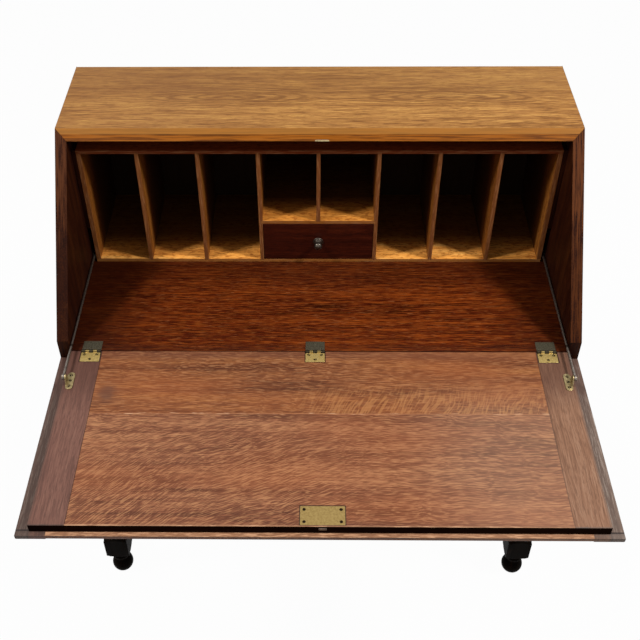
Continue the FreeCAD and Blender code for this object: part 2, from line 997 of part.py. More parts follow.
def peg_y():
    """Return the place of the stop pegs, just in front of the rods' tails."""
    return tail_y() - stay_rod_radius - moving_gap - stay_peg_radius


def peg_z():
    """Return the height of the stop pegs, just under the rods."""
    return rod_z() - stay_rod_radius - 2 * moving_gap - stay_peg_radius


def stay_rod(sign):
    """Return a rod with a flat eye in front and a tail turned down behind."""
    x = sign * stay_x
    z = rod_z()
    straight_end = tail_y() - stay_bend
    path = [(stay_eye_radius - stay_rod_radius - stay_pivot_reach, z, 0)]
    for step in range(stay_bend_steps + 1):
        turn = math.pi / 2 * step / stay_bend_steps
        drop = stay_bend * (1 - math.cos(turn))
        path.append((straight_end + stay_bend * math.sin(turn), z - drop, turn))
    path.append((tail_y(), z - stay_tail_drop, math.pi / 2))
    rings = []
    for y, height, turn in path:
        tilt = FreeCAD.Rotation(to_right, -math.degrees(turn) - 90)
        place = FreeCAD.Vector(x, y, height)
        corners = ring(stay_rod_radius, 0, turned_sides)
        rings.append([place + tilt.multVec(corner) for corner in corners])
    bar = skin(rings)
    eye_start = FreeCAD.Vector(x - stay_eye_thick / 2, -stay_pivot_reach, z)
    eye = turned_bar(eye_start, to_right, stay_eye_thick, stay_eye_radius, turned_sides)
    bore_start = FreeCAD.Vector(x - stay_eye_thick, -stay_pivot_reach, z)
    bore = rod(bore_start, to_right, 2 * stay_eye_thick, stay_pivot_radius + pin_gap)
    return bar.fuse(eye).cut(bore)


def stay_bracket(sign):
    """Return a bracket: round ended plate, ear beside the rod, and the pivot."""
    line = stay_plate_line()
    half = stay_plate_width / 2
    middle = stay_plate_middle()
    z = writing_height
    reach = stay_plate_length / 2 - half
    plate = box(-half, half, -reach, reach, 0, stay_plate_thick)
    for end in (-reach, reach):
        start = FreeCAD.Vector(0, end, 0)
        plate = plate.fuse(turned_bar(start, to_top, stay_plate_thick, half, turned_sides))
    plate.translate(FreeCAD.Vector(sign * line, middle, z))
    low, high = span(sign, ear_inner_x(), ear_inner_x() + stay_ear_thick)
    foot = stay_ear_foot / 2
    pivot = FreeCAD.Vector(low, -stay_pivot_reach, rod_z())
    ear = side_prism(
        [
            (-stay_pivot_reach - foot, z),
            (-stay_pivot_reach + foot, z),
            (-stay_pivot_reach + stay_eye_radius, rod_z()),
            (-stay_pivot_reach - stay_eye_radius, rod_z()),
        ],
        low, high,
    )
    ear = ear.fuse(
        turned_bar(pivot, to_right, stay_ear_thick, stay_eye_radius, turned_sides)
    )
    outer = stay_x + stay_eye_thick / 2 + moving_gap
    low, high = span(sign, ear_inner_x() + stay_ear_thick / 2, outer + stay_head_thick)
    pin_start = FreeCAD.Vector(low, -stay_pivot_reach, rod_z())
    pin = rod(pin_start, to_right, high - low, stay_pivot_radius)
    low, high = span(sign, outer, outer + stay_head_thick)
    head_start = FreeCAD.Vector(low, -stay_pivot_reach, rod_z())
    head = turned_bar(head_start, to_right, high - low, stay_head_radius, turned_sides)
    body = plate.fuse([ear, pin, head]).removeSplitter()
    return body.cut(screw_holes(stay_screw_places()))


def stay_pegs():
    """Return the two stop pegs that hold the rods' tails when the fall is open."""
    pegs = []
    for hand, sign in both_signs():
        low, high = span(sign, unit_half + moving_gap, inner_half + stay_peg_socket)
        start = FreeCAD.Vector(low, peg_y(), peg_z())
        pegs.append(turned_bar(start, to_right, high - low, stay_peg_radius, turned_sides))
    return Part.makeCompound(pegs)


# Stand

def leg_lines():
    """Return the Y of the middle of the front legs and of the back legs."""
    return (leg_square / 2 - leg_front_proud, case_depth - leg_square / 2)


def leg_x():
    """Return the distance of a leg's middle from the middle of the bureau."""
    return half_width + leg_side_proud - leg_square / 2


def leg_tenon_block(x_sign, y):
    """Return the stub tenon on a leg's top, in the inner corner of its block."""
    inner = leg_x() - leg_square / 2 + tenon_shoulder / 2
    low, high = span(x_sign, inner, inner + leg_tenon)
    y_low = y - leg_tenon / 2
    return box(
        low, high, y_low, y_low + leg_tenon, case_under_z, case_under_z + leg_tenon_length
    )


def squared(z_low, z_high):
    """Return a square block of a leg with its corners turned away at both ends."""
    half = leg_square / 2
    diagonal = round_about(half * math.sqrt(2), turned_sides) + moving_gap
    block = box(-half, half, -half, half, z_low, z_high)
    shoulders = turned(
        [
            (half - block_shoulder / 2, z_low),
            (diagonal, z_low + block_shoulder),
            (diagonal, z_high - block_shoulder),
            (half - block_shoulder / 2, z_high),
        ],
        turned_sides,
    )
    return block.common(shoulders)


def foot_profile():
    """Return the ball foot and the ring above it, from the floor up into the block."""
    low = -math.acos(foot_flat_radius / foot_radius)
    high = math.acos(foot_neck_radius / foot_radius)
    profile = []
    for step in range(ball_steps + 1):
        angle = low + (high - low) * step / ball_steps
        profile.append((foot_radius * math.cos(angle), ball_z + foot_radius * math.sin(angle)))
    ring_z = neck_z + foot_neck_length
    profile += bead(ring_z, foot_neck_radius, foot_ring_radius, foot_ring_length)
    profile.append((foot_neck_radius, block_z + block_shoulder))
    return profile


def bead(z, neck_radius, radius, length):
    """Return the four corners of a bead that starts at a height."""
    shoulder = length * bead_shoulder_share
    return [
        (neck_radius, z),
        (radius, z + shoulder),
        (radius, z + length - shoulder),
        (neck_radius, z + length),
    ]


def column_bead(z):
    """Return one of the two beads that end the column."""
    return bead(z, bead_neck_radius, bead_radius, bead_length)


def vase_radius(share):
    """Return the radius of the vase shaped column at a share of its height."""
    if share < vase_belly_share:
        swell = math.sin(math.pi / 2 * share / vase_belly_share)
        return bead_neck_radius + (vase_belly_radius - bead_neck_radius) * swell
    taper = math.pi * (share - vase_belly_share) / (1 - vase_belly_share)
    return vase_top_radius + (vase_belly_radius - vase_top_radius) * (1 + math.cos(taper)) / 2


def column_profile():
    """Return the turned column between the blocks: bead, vase and bead."""
    start = block_top + 2 * bead_length
    end = column_end - 2 * bead_length
    profile = [(bead_neck_radius, block_top - block_shoulder)] + column_bead(block_top)
    for step in range(vase_steps + 1):
        share = step / vase_steps
        profile.append((vase_radius(share), start + (end - start) * share))
    profile += column_bead(column_end - bead_length)
    profile.append((bead_neck_radius, column_end + block_shoulder))
    return profile


def leg(x_sign, y):
    """Return a leg: ball foot, square block, turned column and square top."""
    top_block = squared(column_end, case_under_z + block_shoulder)
    half = leg_square
    cut_off = box(-half, half, -half, half, case_under_z, case_under_z + block_shoulder)
    body = squared(block_z, block_top).fuse([
        top_block.cut(cut_off),
        turned(foot_profile(), turned_sides),
        turned(column_profile(), turned_sides),
    ])
    body.translate(FreeCAD.Vector(x_sign * leg_x(), y, 0))
    body = body.fuse(leg_tenon_block(x_sign, y))
    return body.cut([side_rail(x_sign), side_stretcher_body(x_sign)])


def tenoned_bar(low, high, y_low, y_high, z_low, z_high):
    """Return a bar along Y with a tenon on each end."""
    middle = (low + high) / 2
    bar = box(low, high, y_low, y_high, z_low, z_high)
    tenon = box(
        middle - tenon_thick / 2, middle + tenon_thick / 2, y_low - tenon_length,
        y_high + tenon_length, z_low + tenon_shoulder, z_high - tenon_shoulder,
    )
    return bar.fuse(tenon).removeSplitter()


def side_rail(x_sign):
    """Return the rail under a case side, tenoned into the top blocks of its legs."""
    x = x_sign * leg_x()
    half = rail_thick / 2
    return tenoned_bar(
        x - half, x + half, leg_square - leg_front_proud, case_depth - leg_square,
        case_under_z - rail_height, case_under_z,
    )


def side_stretcher_body(x_sign):
    """Return a side stretcher before its mortise, rounded along its top."""
    x = x_sign * leg_x()
    half = stretcher_width / 2
    z = stretcher_z
    z_high = z + stretcher_height / 2
    bar = tenoned_bar(
        x - half, x + half, leg_square - leg_front_proud, case_depth - leg_square,
        z - stretcher_height / 2, z_high,
    )
    return round_edges(
        bar, stretcher_round,
        lambda point: near(point.z, z_high) and near(abs(point.x - x), half),
    )


def side_stretcher(x_sign):
    """Return the stretcher between a front and a back leg, mortised for the cross one."""
    return side_stretcher_body(x_sign).cut(cross_stretcher())


def cross_stretcher():
    """Return the stretcher that ties the two side stretchers together."""
    reach = leg_x() - stretcher_width / 2
    y = case_depth / 2
    half = stretcher_width / 2
    z = stretcher_z
    z_high = z + stretcher_height / 2 - moving_gap
    bar = box(-reach, reach, y - half, y + half, z - stretcher_height / 2 + moving_gap, z_high)
    bar = round_edges(
        bar, stretcher_round,
        lambda point: near(point.z, z_high) and near(abs(point.y - y), half),
    )
    tenon_reach = reach + stretcher_width / 2
    tenon_half = stretcher_height / 2 - tenon_shoulder
    tenon = box(
        -tenon_reach, tenon_reach, y - tenon_thick / 2, y + tenon_thick / 2,
        z - tenon_half, z + tenon_half,
    )
    return bar.fuse(tenon).removeSplitter()


def save_case():
    """Write the boards of the case."""
    for hand, sign in both_signs():
        save("case_side_" + hand, case_side(sign))
    save("top_board", top_board())
    save("back_panel", back_panel())
    save("writing_board", writing_board())
    save("writing_board_lipping", writing_board_lipping())
    save("bottom_board", bottom_board())


def save_pigeonholes():
    """Write the pigeonholes, their dividers and the strips beside them."""
    save("pigeonhole_base", unit_base())
    save("pigeonhole_top", unit_top())
    for hand, sign in both_signs():
        save("pigeonhole_end_" + hand, unit_end(sign))
        save("stay_slot_filler_" + hand, slot_filler(sign))
    shelf = shelf_groove()
    for index in full_dividers():
        save("pigeonhole_divider_" + str(index), divider(index, unit_floor_z).cut(shelf))
    save("pigeonhole_divider_short", divider(bay_count // 2, shelf_z + shelf_thick))
    save("pigeonhole_shelf", unit_shelf())


def save_drawers():
    """Write both drawers, board by board, and their knobs."""
    for name, spec in (("small_drawer", small_drawer_spec()), ("long_drawer", long_drawer_spec())):
        for piece, shape in drawer_pieces(spec).items():
            save(name + "_" + piece, shape)
    save("small_drawer_knob", knob(0, small_drawer_spec()))
    spec = long_drawer_spec()
    save("long_drawer_knobs", Part.makeCompound([knob(x, spec) for x in spec["knobs"]]))


def save_fall():
    """Write the fall, its hinges, its lock and its stays."""
    save("fall_rear_board", fall_rear_board())
    save("fall_front_board", fall_front_board())
    for hand, sign in both_signs():
        save("fall_cleat_" + hand, fall_cleat(sign))
        save("stay_bracket_" + hand, stay_bracket(sign))
        save("stay_rod_" + hand, stay_rod(sign))
    case_knuckles = range(0, knuckle_count, 2)
    fall_knuckles = range(1, knuckle_count, 2)
    save("hinge_leaves_fall", hinge_leaves(-1, fall_knuckles))
    save("hinge_leaves_case", hinge_leaves(1, case_knuckles))
    save("hinge_pins", hinge_pins())
    fall_places = hinge_screw_places(-1) + lock_screw_places() + stay_screw_places()
    save("fall_fitting_screws", Part.makeCompound(screw_set(fall_places)))
    save("case_hinge_screws", Part.makeCompound(screw_set(hinge_screw_places(1))))
    save("lock_case", lock_case())
    save("lock_bolt", lock_bolt())
    save("lock_strike", lock_strike())
    save("keyhole_escutcheon", keyhole_escutcheon())
    save("stay_stop_pegs", stay_pegs())


def save_stand():
    """Write the legs, the side rails and the stretchers."""
    for hand, sign in both_signs():
        for place, y in zip(("front", "back"), leg_lines()):
            save("leg_" + place + "_" + hand, leg(sign, y))
        save("side_rail_" + hand, side_rail(sign))
        save("stretcher_side_" + hand, side_stretcher(sign))
    save("stretcher_cross", cross_stretcher())


os.makedirs("parts", exist_ok=True)
save_case()
save_pigeonholes()
save_drawers()
save_fall()
save_stand()
print("front of the case at Y", round(front_y, 3), "fall reach", round(fall_reach, 3))
print("raised length of the fall", round(raised_length, 3))
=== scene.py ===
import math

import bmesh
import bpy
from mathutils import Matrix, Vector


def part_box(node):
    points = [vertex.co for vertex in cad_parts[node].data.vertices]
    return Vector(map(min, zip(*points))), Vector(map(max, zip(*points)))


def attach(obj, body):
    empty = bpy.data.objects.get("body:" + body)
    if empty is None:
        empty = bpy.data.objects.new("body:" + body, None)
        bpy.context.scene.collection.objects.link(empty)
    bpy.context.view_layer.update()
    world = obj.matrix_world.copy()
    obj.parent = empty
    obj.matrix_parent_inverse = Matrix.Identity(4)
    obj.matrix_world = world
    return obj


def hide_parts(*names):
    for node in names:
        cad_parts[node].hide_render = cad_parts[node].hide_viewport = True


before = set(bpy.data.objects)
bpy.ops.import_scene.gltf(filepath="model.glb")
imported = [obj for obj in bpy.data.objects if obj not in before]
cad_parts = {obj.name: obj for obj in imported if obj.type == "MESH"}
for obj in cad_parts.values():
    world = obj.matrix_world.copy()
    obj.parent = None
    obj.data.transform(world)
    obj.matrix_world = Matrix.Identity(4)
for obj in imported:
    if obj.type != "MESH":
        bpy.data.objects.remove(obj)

# %% [markdown]
# A slant front writing bureau with its fall open
#
# The engineering model is already in the scene: boards, drawers, hinges, lock
# and stays, each in its real place in metres. This lesson dresses it. It gives
# every board the oak and the polish it has, swaps the small turned and cast
# pieces for smoother ones, and sets up the light and the camera.

MM = 0.001
FAR = 2.0
X, Y, Z = 0, 1, 2
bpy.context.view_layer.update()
print("nodes of the bureau:", len(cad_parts))

# %% [markdown]
# Measure the bureau as it was built
#
# Every mark and every new piece sits where a built piece is, so its place is
# read from the model and not typed in. A node can hold several solids, such as
# the leaves of three hinges. Those are told apart by walking from corner to
# corner along the edges until no new corner is found.

# %% Measure
def solids_of(node_name):
    """Return the low and high corners of each separate solid in a node."""
    shape = bmesh.new()
    shape.from_mesh(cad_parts[node_name].data)
    bmesh.ops.remove_doubles(shape, verts=shape.verts, dist=0.005 * MM)
    unseen = set(shape.verts)
    boxes = []
    while unseen:
        waiting = {unseen.pop()}
        corners = []
        while waiting:
            corner = waiting.pop()
            corners.append(corner.co.copy())
            linked = {edge.other_vert(corner) for edge in corner.link_edges} & unseen
            unseen -= linked
            waiting |= linked
        boxes.append((Vector(map(min, *corners)), Vector(map(max, *corners))))
    shape.free()
    return sorted(boxes, key=lambda pair: (round(pair[0].x, 3), round(pair[0].y, 3)))


leaf_boxes = solids_of("hinge_leaves_fall")
case_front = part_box("case_side_left")[0].y
writing_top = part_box("writing_board")[1].z
raised_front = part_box("lock_case")[0].y
board_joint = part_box("fall_rear_board")[0].y
cleat_joint = -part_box("fall_cleat_left")[1].x
raised_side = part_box("fall_cleat_right")[1].x - 20 * MM
unit_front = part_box("pigeonhole_base")[0].y
print("case front", round(case_front, 4), "writing surface", round(writing_top, 4))
print("front of the raised field", round(raised_front, 4), "joint", round(board_joint, 4))

# %% [markdown]
# Colours and nodes
#
# Colours are picked as hex values from a swatch, which are sRGB, while the
# renderer adds and multiplies light in linear values. One function turns the
# first into the second. Another adds a node, sets it, wires it and hands back
# the output that the next node wants. It goes beside a socket, into the same tree.

# %% Two small helpers
def linear(swatch):
    """Turn an sRGB hex colour into the linear colour that Blender mixes."""
    shares = [int(swatch[start:start + 2], 16) / 255 for start in (1, 3, 5)]
    bent = [s / 12.92 if s <= 0.04045 else ((s + 0.055) / 1.055) ** 2.4 for s in shares]
    return (*bent, 1.0)


def add(beside, kind, settings=None, links=None, out=0):
    """Add a node beside a socket, or to a tree, set it, link it and return an output."""
    tree = beside.id_data
    node = tree.nodes.new(kind)
    for name, value in (settings or {}).items():
        if isinstance(name, int) or name in node.inputs:
            node.inputs[name].default_value = value
        else:
            setattr(node, name, value)
    for name, socket in (links or {}).items():
        tree.links.new(socket, node.inputs[name])
    return node.outputs[out] if node.outputs else node


print("a mid oak is", [round(c, 3) for c in linear("#A8733F")])

# %% [markdown]
# Where a mark lies on a board
#
# A stain, a joint or a worn edge lies in a known place. Every board keeps the
# place of its points, so a strip between two lines is two soft steps along one
# axis, multiplied. It could also be painted by hand, but a rule follows a board
# when its size changes. FAR stands for an edge that lies past the whole bureau.

# %% Strips and slopes
def overlap(*masks):
    """Return where all the masks lie on top of one another."""
    product = masks[0]
    for mask in masks[1:]:
        product = add(mask, "ShaderNodeMath", {"operation": "MULTIPLY"}, {0: product, 1: mask})
    return product


def strip(place, axis, low, high, fade):
    """Return 1 between two lines square to an axis, fading to 0 outside them."""
    spot = add(place, "ShaderNodeSeparateXYZ", None, {0: place}, axis)
    steps = []
    for empty, full in ((low - fade, low), (high + fade, high)):
        steps.append(add(
            place, "ShaderNodeMapRange",
            {"interpolation_type": "SMOOTHSTEP", "From Min": empty, "From Max": full},
            {"Value": spot},
        ))
    return overlap(*steps)


def facing(place, axis, low, high):
    """Return 1 on faces whose outward direction lies between two shares of an axis."""
    outward = add(place, "ShaderNodeTexCoord", out="Normal")
    return strip(outward, axis, low, high, 0.08)


# %% [markdown]
# Marks of the grain
#
# A board of oak shows broad bands from wet and dry years, fine streaks of fibre
# along the grain and short dark pores. Cut on the quarter, it also shows pale
# rays that ripple across it like water. Every one is a noise pattern stretched
# to the length and width of the real mark. Marks are then laid over the colour
# of the wood in coats, as a polisher lays stain.

# %% Grain
def marks(place, along, length_mm, width_mm, seed, detail=2.0):
    """Return noise whose marks have a real length along the grain and a real width."""
    stretch = [1 / (width_mm * MM)] * 3
    stretch[along] = 1 / (length_mm * MM)
    moved = (seed * 3.1, seed * 5.3, seed * 7.7)
    spread = add(
        place, "ShaderNodeMapping", {"Scale": stretch, "Location": moved}, {"Vector": place},
    )
    return add(
        place, "ShaderNodeTexNoise", {"Scale": 1.0, "Detail": detail, "Roughness": 0.6},
        {"Vector": spread},
    )


def sway(place, amount_mm, wave_mm, seed):
    """Push places about, so that straight marks wander as grain does."""
    drift = add(
        place, "ShaderNodeTexNoise",
        {"noise_dimensions": "4D", "Scale": 1 / (wave_mm * MM), "Detail": 1.0, "W": seed},
        {"Vector": place}, "Color",
    )
    push = [2 * amount_mm * MM] * 3
    return add(
        place, "ShaderNodeVectorMath", {"operation": "MULTIPLY_ADD", 1: push},
        {0: drift, 2: place},
    )


def stain(colour, *coats):
    """Lay coats of a pattern, tone and share, starting and full at levels of the pattern."""
    for pattern, tone, share, *levels in coats:
        start, full = levels or (0.0, 1.0)
        cover = add(
            colour, "ShaderNodeMapRange",
            {"From Min": start, "From Max": full, "To Max": share}, {"Value": pattern},
        )
        colour = add(
            colour, "ShaderNodeMix", {"data_type": "RGBA", 7: linear(tone)},
            {0: cover, 6: colour}, 2,
        )
    return colour


def oak_figure(place, along, tones, seed, band_mm=14, streak_share=0.65, spread=0.26):
    """Return the colour and the fibre streaks of a board, from its three tones."""
    swayed = sway(place, 5, 160, seed)
    bands = marks(swayed, along, 420, band_mm, seed, 1.0)
    streaks = marks(swayed, along, 55, 1.9, seed + 1, 3.0)
    clouds = marks(place, along, 260, 90, seed + 2)
    grain = add(
        place, "ShaderNodeMix", {"data_type": "FLOAT", 0: streak_share}, {2: bands, 3: streaks},
    )
    shade = add(
        place, "ShaderNodeMath", {"operation": "MULTIPLY_ADD", 1: 0.2}, {0: clouds, 2: grain},
    )
    level = add(
        place, "ShaderNodeMapRange",
        {"From Min": 0.6 - spread / 2, "From Max": 0.6 + spread / 2}, {"Value": shade},
    )
    colour = add(place, "ShaderNodeValToRGB", None, {"Fac": level})
    stops = colour.node.color_ramp.elements
    stops[0].color = linear(tones[0])
    stops[1].color = linear(tones[2])
    stops.new(0.5).color = linear(tones[1])
    # Oak pores are 0.3 mm wide, too fine to show, so they are drawn 1.8 mm wide.
    pores = marks(swayed, along, 18, 1.8, seed + 7)
    return stain(colour, (pores, tones[0], 0.55, 0.53, 0.61)), streaks


# %% [markdown]
# One surface for every polish
#
# Wax, shellac and bare wood differ in gloss and in how much white light they
# throw back. The edges of an old board are never sharp: the Bevel node rounds
# the light on them by a millimetre without touching the mesh.

# %% Polish
def emptied_tree(owner):
    """Switch a material or a world to nodes and return its tree, emptied."""
    owner.use_nodes = True
    owner.node_tree.nodes.clear()
    return owner.node_tree


def start_finish(name):
    """Start an empty material and return it with the places on its board."""
    material = bpy.data.materials.new(name)
    return material, add(emptied_tree(material), "ShaderNodeTexCoord", out="Object")


def close_finish(material, surface):
    """Wire the surface to the output and hand back the finished material."""
    add(surface, "ShaderNodeOutputMaterial", None, {"Surface": surface})
    print(material.name, "has", len(material.node_tree.nodes), "nodes")
    return material


def polish(material, colour, relief, gloss, shine=0.2, shaded_face=None, **extra):
    """Close a finish: fibre relief, a gloss that follows the fibre, soft edges, no shine on a
    painted shade face.
    """
    dull = add(
        colour, "ShaderNodeMapRange",
        {"From Min": 0.35, "From Max": 0.7, "To Min": gloss - 0.05, "To Max": gloss + 0.1},
        {"Value": relief},
    )
    soft = add(colour, "ShaderNodeBevel", {"samples": 4, "Radius": 1.2 * MM})
    fibre = add(
        colour, "ShaderNodeBump", {"Strength": 0.3, "Distance": 0.2 * MM},
        {"Height": relief, "Normal": soft},
    )
    wires = {"Base Color": colour, "Roughness": dull, "Normal": fibre}
    if shaded_face:
        wires["Specular IOR Level"] = add(
            colour, "ShaderNodeMapRange", {"To Min": shine, "To Max": 0.0}, {"Value": shaded_face},
        )
    surface = add(
        colour, "ShaderNodeBsdfPrincipled", {"IOR": 1.5, "Specular IOR Level": shine, **extra},
        wires,
    )
    return close_finish(material, surface)


# %% [markdown]
# The top: waxed oak that has stood in the sun
#
# The flat of the top has faded to gold. The bevel along its front, which the
# shut fall covers, kept its amber polish below a faded edge, and dirt lies in a
# broken line between the two. The bevel is also painted darker, as painted shade
# on a face that gets less light than the flat. A pale nick in the lower edge
# shows where the lock's bolt struck.

# %% Sun faded top
def cathedral(place, x, y, seed):
    """Return the arched lines of plain sawn figure round one point of a board."""
    squash = 0.13
    squashed = add(
        place, "ShaderNodeMapping",
        {"Location": (-x * squash, -y, 0), "Scale": (squash, 1.0, 0.0)},
        {"Vector": sway(place, 5, 70, seed)},
    )
    rings = add(
        place, "ShaderNodeTexWave",
        {"wave_type": "RINGS", "rings_direction": "Z", "Scale": 60.0, "Distortion": 1.2,
         "Detail": 2.0},
        {"Vector": squashed}, "Fac",
    )
    return overlap(
        rings, strip(place, X, x - 110 * MM, x + 110 * MM, 110 * MM),
        strip(place, Y, y - 25 * MM, y + 25 * MM, 30 * MM),
    )


def worn_bevel(place, colour, faded_z):
    """Lay amber polish and painted shade on the bevel, faded from one height up, and a line of
    dirt.
    """
    # Painted shade: the bevel's darker amber is partly its own polish and partly the shade of a
    # face that gets less light.
    bevel = facing(place, Y, -0.9, -0.4)
    dark_streak = overlap(bevel, marks(place, X, 90, 2.6, 31.0, 3.0))
    faded = overlap(bevel, strip(place, Z, faded_z, FAR, 1.5 * MM))
    dirt_line = overlap(
        bevel, strip(place, Z, faded_z - 2 * MM, faded_z - 1 * MM, 1 * MM),
        marks(place, X, 150, 20, 33.0),
    )
    return stain(
        colour, (bevel, "#96530F", 0.9), (dark_streak, "#532A0B", 0.8, 0.45, 0.58),
        (faded, "#A87234", 0.65), (dirt_line, "#2E1606", 0.7, 0.44, 0.6),
    )


def sun_faded_top():
    """Make the oak of the top board."""
    material, place = start_finish("sun_faded_waxed_oak")
    tones = ("#6E4318", "#A8743C", "#C89550")
    colour, streaks = oak_figure(place, X, tones, 1.0, 11, 0.75, 0.27)
    low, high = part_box("top_board")
    colour = stain(
        colour, (strip(place, Y, high.y - 60 * MM, FAR, 90 * MM), "#7E5429", 0.35),
        (cathedral(place, -0.16, high.y - 105 * MM, 17.0), "#6C421C", 0.6, 0.45, 0.9),
        (cathedral(place, 0.24, high.y - 105 * MM, 19.0), "#6C421C", 0.6, 0.45, 0.9),
        (strip(place, X, -FAR, -0.3, 0.3), "#7A5030", 0.3),
    )
    colour = worn_bevel(place, colour, high.z - 7 * MM)
    nick = overlap(
        strip(place, X, -3 * MM, 14 * MM, 5 * MM),
        strip(place, Z, -FAR, low.z + 1.6 * MM, 1 * MM),
    )
    colour = stain(colour, (nick, "#D9B79A", 0.9, 0.1, 0.8))
    return polish(material, colour, streaks, 0.42, 0.1)


golden_top_oak = sun_faded_top()

# %% [markdown]
# The sides: stained and waxed oak
#
# The two sides were stained nearly black brown. Only their sloping front edges
# have been rubbed lighter by hands, most of all near the top. They lean back as
# far as the shut fall does, so their worn streaks are turned by that angle. The
# right one's edge is painted lighter still, as painted light from the right.

# %% Stained sides
slope_lean = math.radians(41.4)
hands_reach = 950 * MM


def stained_side():
    """Make the oak of the case sides, the slot fillers and the long drawer's front."""
    material, place = start_finish("stained_waxed_oak")
    colour, streaks = oak_figure(place, Z, ("#180703", "#2C1006", "#41200C"), 2.0, 18)
    leaned = add(
        place, "ShaderNodeMapping", {"Rotation": (slope_lean, 0, 0)}, {"Vector": place},
    )
    worn_fibre = overlap(facing(place, Y, -0.9, -0.4), marks(leaned, Z, 50, 2.6, 3.0, 3.0))
    high = overlap(strip(place, Z, hands_reach, FAR, 220 * MM), worn_fibre)
    # Painted light: edges right of the middle are lighter, as light falls more from the right.
    right = overlap(strip(place, X, 0.2, FAR, 0.1), worn_fibre)
    colour = stain(
        colour, (worn_fibre, "#341709", 0.4, 0.42, 0.58),
        (high, "#5C331B", 0.72, 0.38, 0.56), (right, "#6B3A1A", 0.38, 0.42, 0.58),
    )
    return polish(material, colour, streaks, 0.5, 0.06)


stained_side_oak = stained_side()

# %% [markdown]
# The writing board: shellac polish over red brown stain
#
# Inside the desk the polish was never worn away. Thin coats of shellac give a
# second, smoother surface over the stain, so this finish has a clear coat.

# %% Polished writing board
def shellac_polished_board():
    """Make the oak of the writing board and its lipping."""
    material, place = start_finish("shellac_polished_oak")
    tones = ("#260701", "#541B06", "#8A3E0E")
    colour, streaks = oak_figure(place, X, tones, 4.0, 9, 0.75, 0.3)
    flecks = marks(place, X, 22, 1.3, 43.0)
    scratches = marks(place, X, 14, 0.9, 47.0, 0.0)
    # Painted shade: the corners by the case sides and the back are darkened.
    shaded_left_corner = strip(place, X, -FAR, -0.41, 0.16)
    shaded_right_corner = strip(place, X, 0.43, FAR, 0.16)
    shaded_back = strip(place, Y, unit_front - 20 * MM, FAR, 90 * MM)
    seam_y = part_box("writing_board_lipping")[1].y
    seam = strip(place, Y, seam_y - 0.3 * MM, seam_y + 0.3 * MM, 0.6 * MM)
    dusty = overlap(
        strip(place, Y, case_front, case_front + 10 * MM, 16 * MM),
        marks(place, X, 120, 14, 41.0),
    )
    front_gap = strip(place, Y, -FAR, case_front + 1.2 * MM, 0.8 * MM)
    colour = stain(
        colour, (flecks, "#8F4A1A", 0.5, 0.52, 0.62), (flecks, "#2E0B03", 0.5, 0.46, 0.36),
        (scratches, "#A8683C", 0.5, 0.74, 0.8), (shaded_left_corner, "#260A03", 0.75),
        (shaded_right_corner, "#260A03", 0.55), (shaded_back, "#2A0D04", 0.5),
        (seam, "#230903", 0.5), (dusty, "#30190F", 0.3, 0.3, 0.6),
        (front_gap, "#140806", 0.85),
    )
    coat = {"Coat Weight": 0.1, "Coat Roughness": 0.16}
    return polish(material, colour, streaks, 0.4, 0.08, **coat)


polished_writing_oak = shellac_polished_board()

# %% [markdown]
# The fall: quarter sawn oak
#
# The two wide boards of the fall are the showpiece. Their rays lie in fine
# ripples about five millimetres apart: level in the middle, and climbing to the
# right near the front left corner. The climb is the same pattern turned by an
# angle and let in through a soft mask. Something dark was once spilt at the left
# of the rear board, and the rebate in front is darkened with painted shade.

# %% Rays
def ripples(place, degrees, seed):
    """Return the rays of a quarter sawn board, running at an angle to its length."""
    turned = add(
        place, "ShaderNodeMapping", {"Rotation": (0, 0, math.radians(-degrees))},
        {"Vector": sway(place, 7, 60, seed)},
    )
    return marks(turned, X, 22, 1.7, seed + 1, 1.5)


def climbing_rays(place, seed):
    """Return level rays that give way to climbing ones near the front left corner."""
    rays = ripples(place, 0, seed)
    for degrees, right, back in ((20, -0.05, -0.26), (40, -0.3, -0.32)):
        corner = overlap(strip(place, X, -FAR, right, 0.2), strip(place, Y, -FAR, back, 0.1))
        rays = add(
            place, "ShaderNodeMix", {"data_type": "FLOAT"},
            {0: corner, 2: rays, 3: ripples(place, degrees, seed + degrees)},
        )
    return rays


def fiddleback(place, seed):
    """Return the plume of leaning ripples across the grain at the right of the rear board."""
    leaning = add(
        place, "ShaderNodeMapping", {"Rotation": (0, 0, math.radians(24))},
        {"Vector": sway(place, 16, 90, seed)},
    )
    lines = add(
        place, "ShaderNodeMapRange", {"From Min": 0.46, "From Max": 0.6},
        {"Value": marks(leaning, Y, 34, 3.4, seed, 1.0)},
    )
    return overlap(
        lines, strip(place, X, 0.06, 0.34, 0.14),
        strip(place, Y, board_joint + 8 * MM, board_joint + 22 * MM, 50 * MM),
    )


# %% Dirt, gaps and joints of the fall
def rebate_wear_and_shade(place, colour, lip_tone, wear_tone="#D8A57E"):
    """Lay wear on the front lip and painted shade on the riser and just before it, and return the
    shaded riser face too.
    """
    lip = overlap(
        facing(place, Z, 0.6, 1), strip(place, Y, -FAR, raised_front - 1 * MM, 0.8 * MM),
    )
    wear = overlap(lip, marks(place, X, 22, 2.4, 61.0, 3.0))
    # Painted shade: the riser is painted near black and its shine is taken away, and the strip
    # just before it on the lip is a painted shadow.
    shaded_riser = overlap(
        facing(place, Y, -1, -0.8),
        strip(place, Y, -FAR, raised_front + 1 * MM, 0.1 * MM),
        strip(place, Z, writing_top - 15.5 * MM, FAR, 0.5 * MM),
    )
    corner = overlap(
        strip(place, Y, raised_front - 1.6 * MM, raised_front, 1 * MM),
        strip(place, Z, -FAR, writing_top - 10 * MM, 1 * MM),
    )
    colour = stain(
        colour, (lip, lip_tone, 0.5), (wear, wear_tone, 0.7, 0.5, 0.6),
        (shaded_riser, "#130704", 0.95), (corner, "#180A06", 0.85),
    )
    return colour, shaded_riser


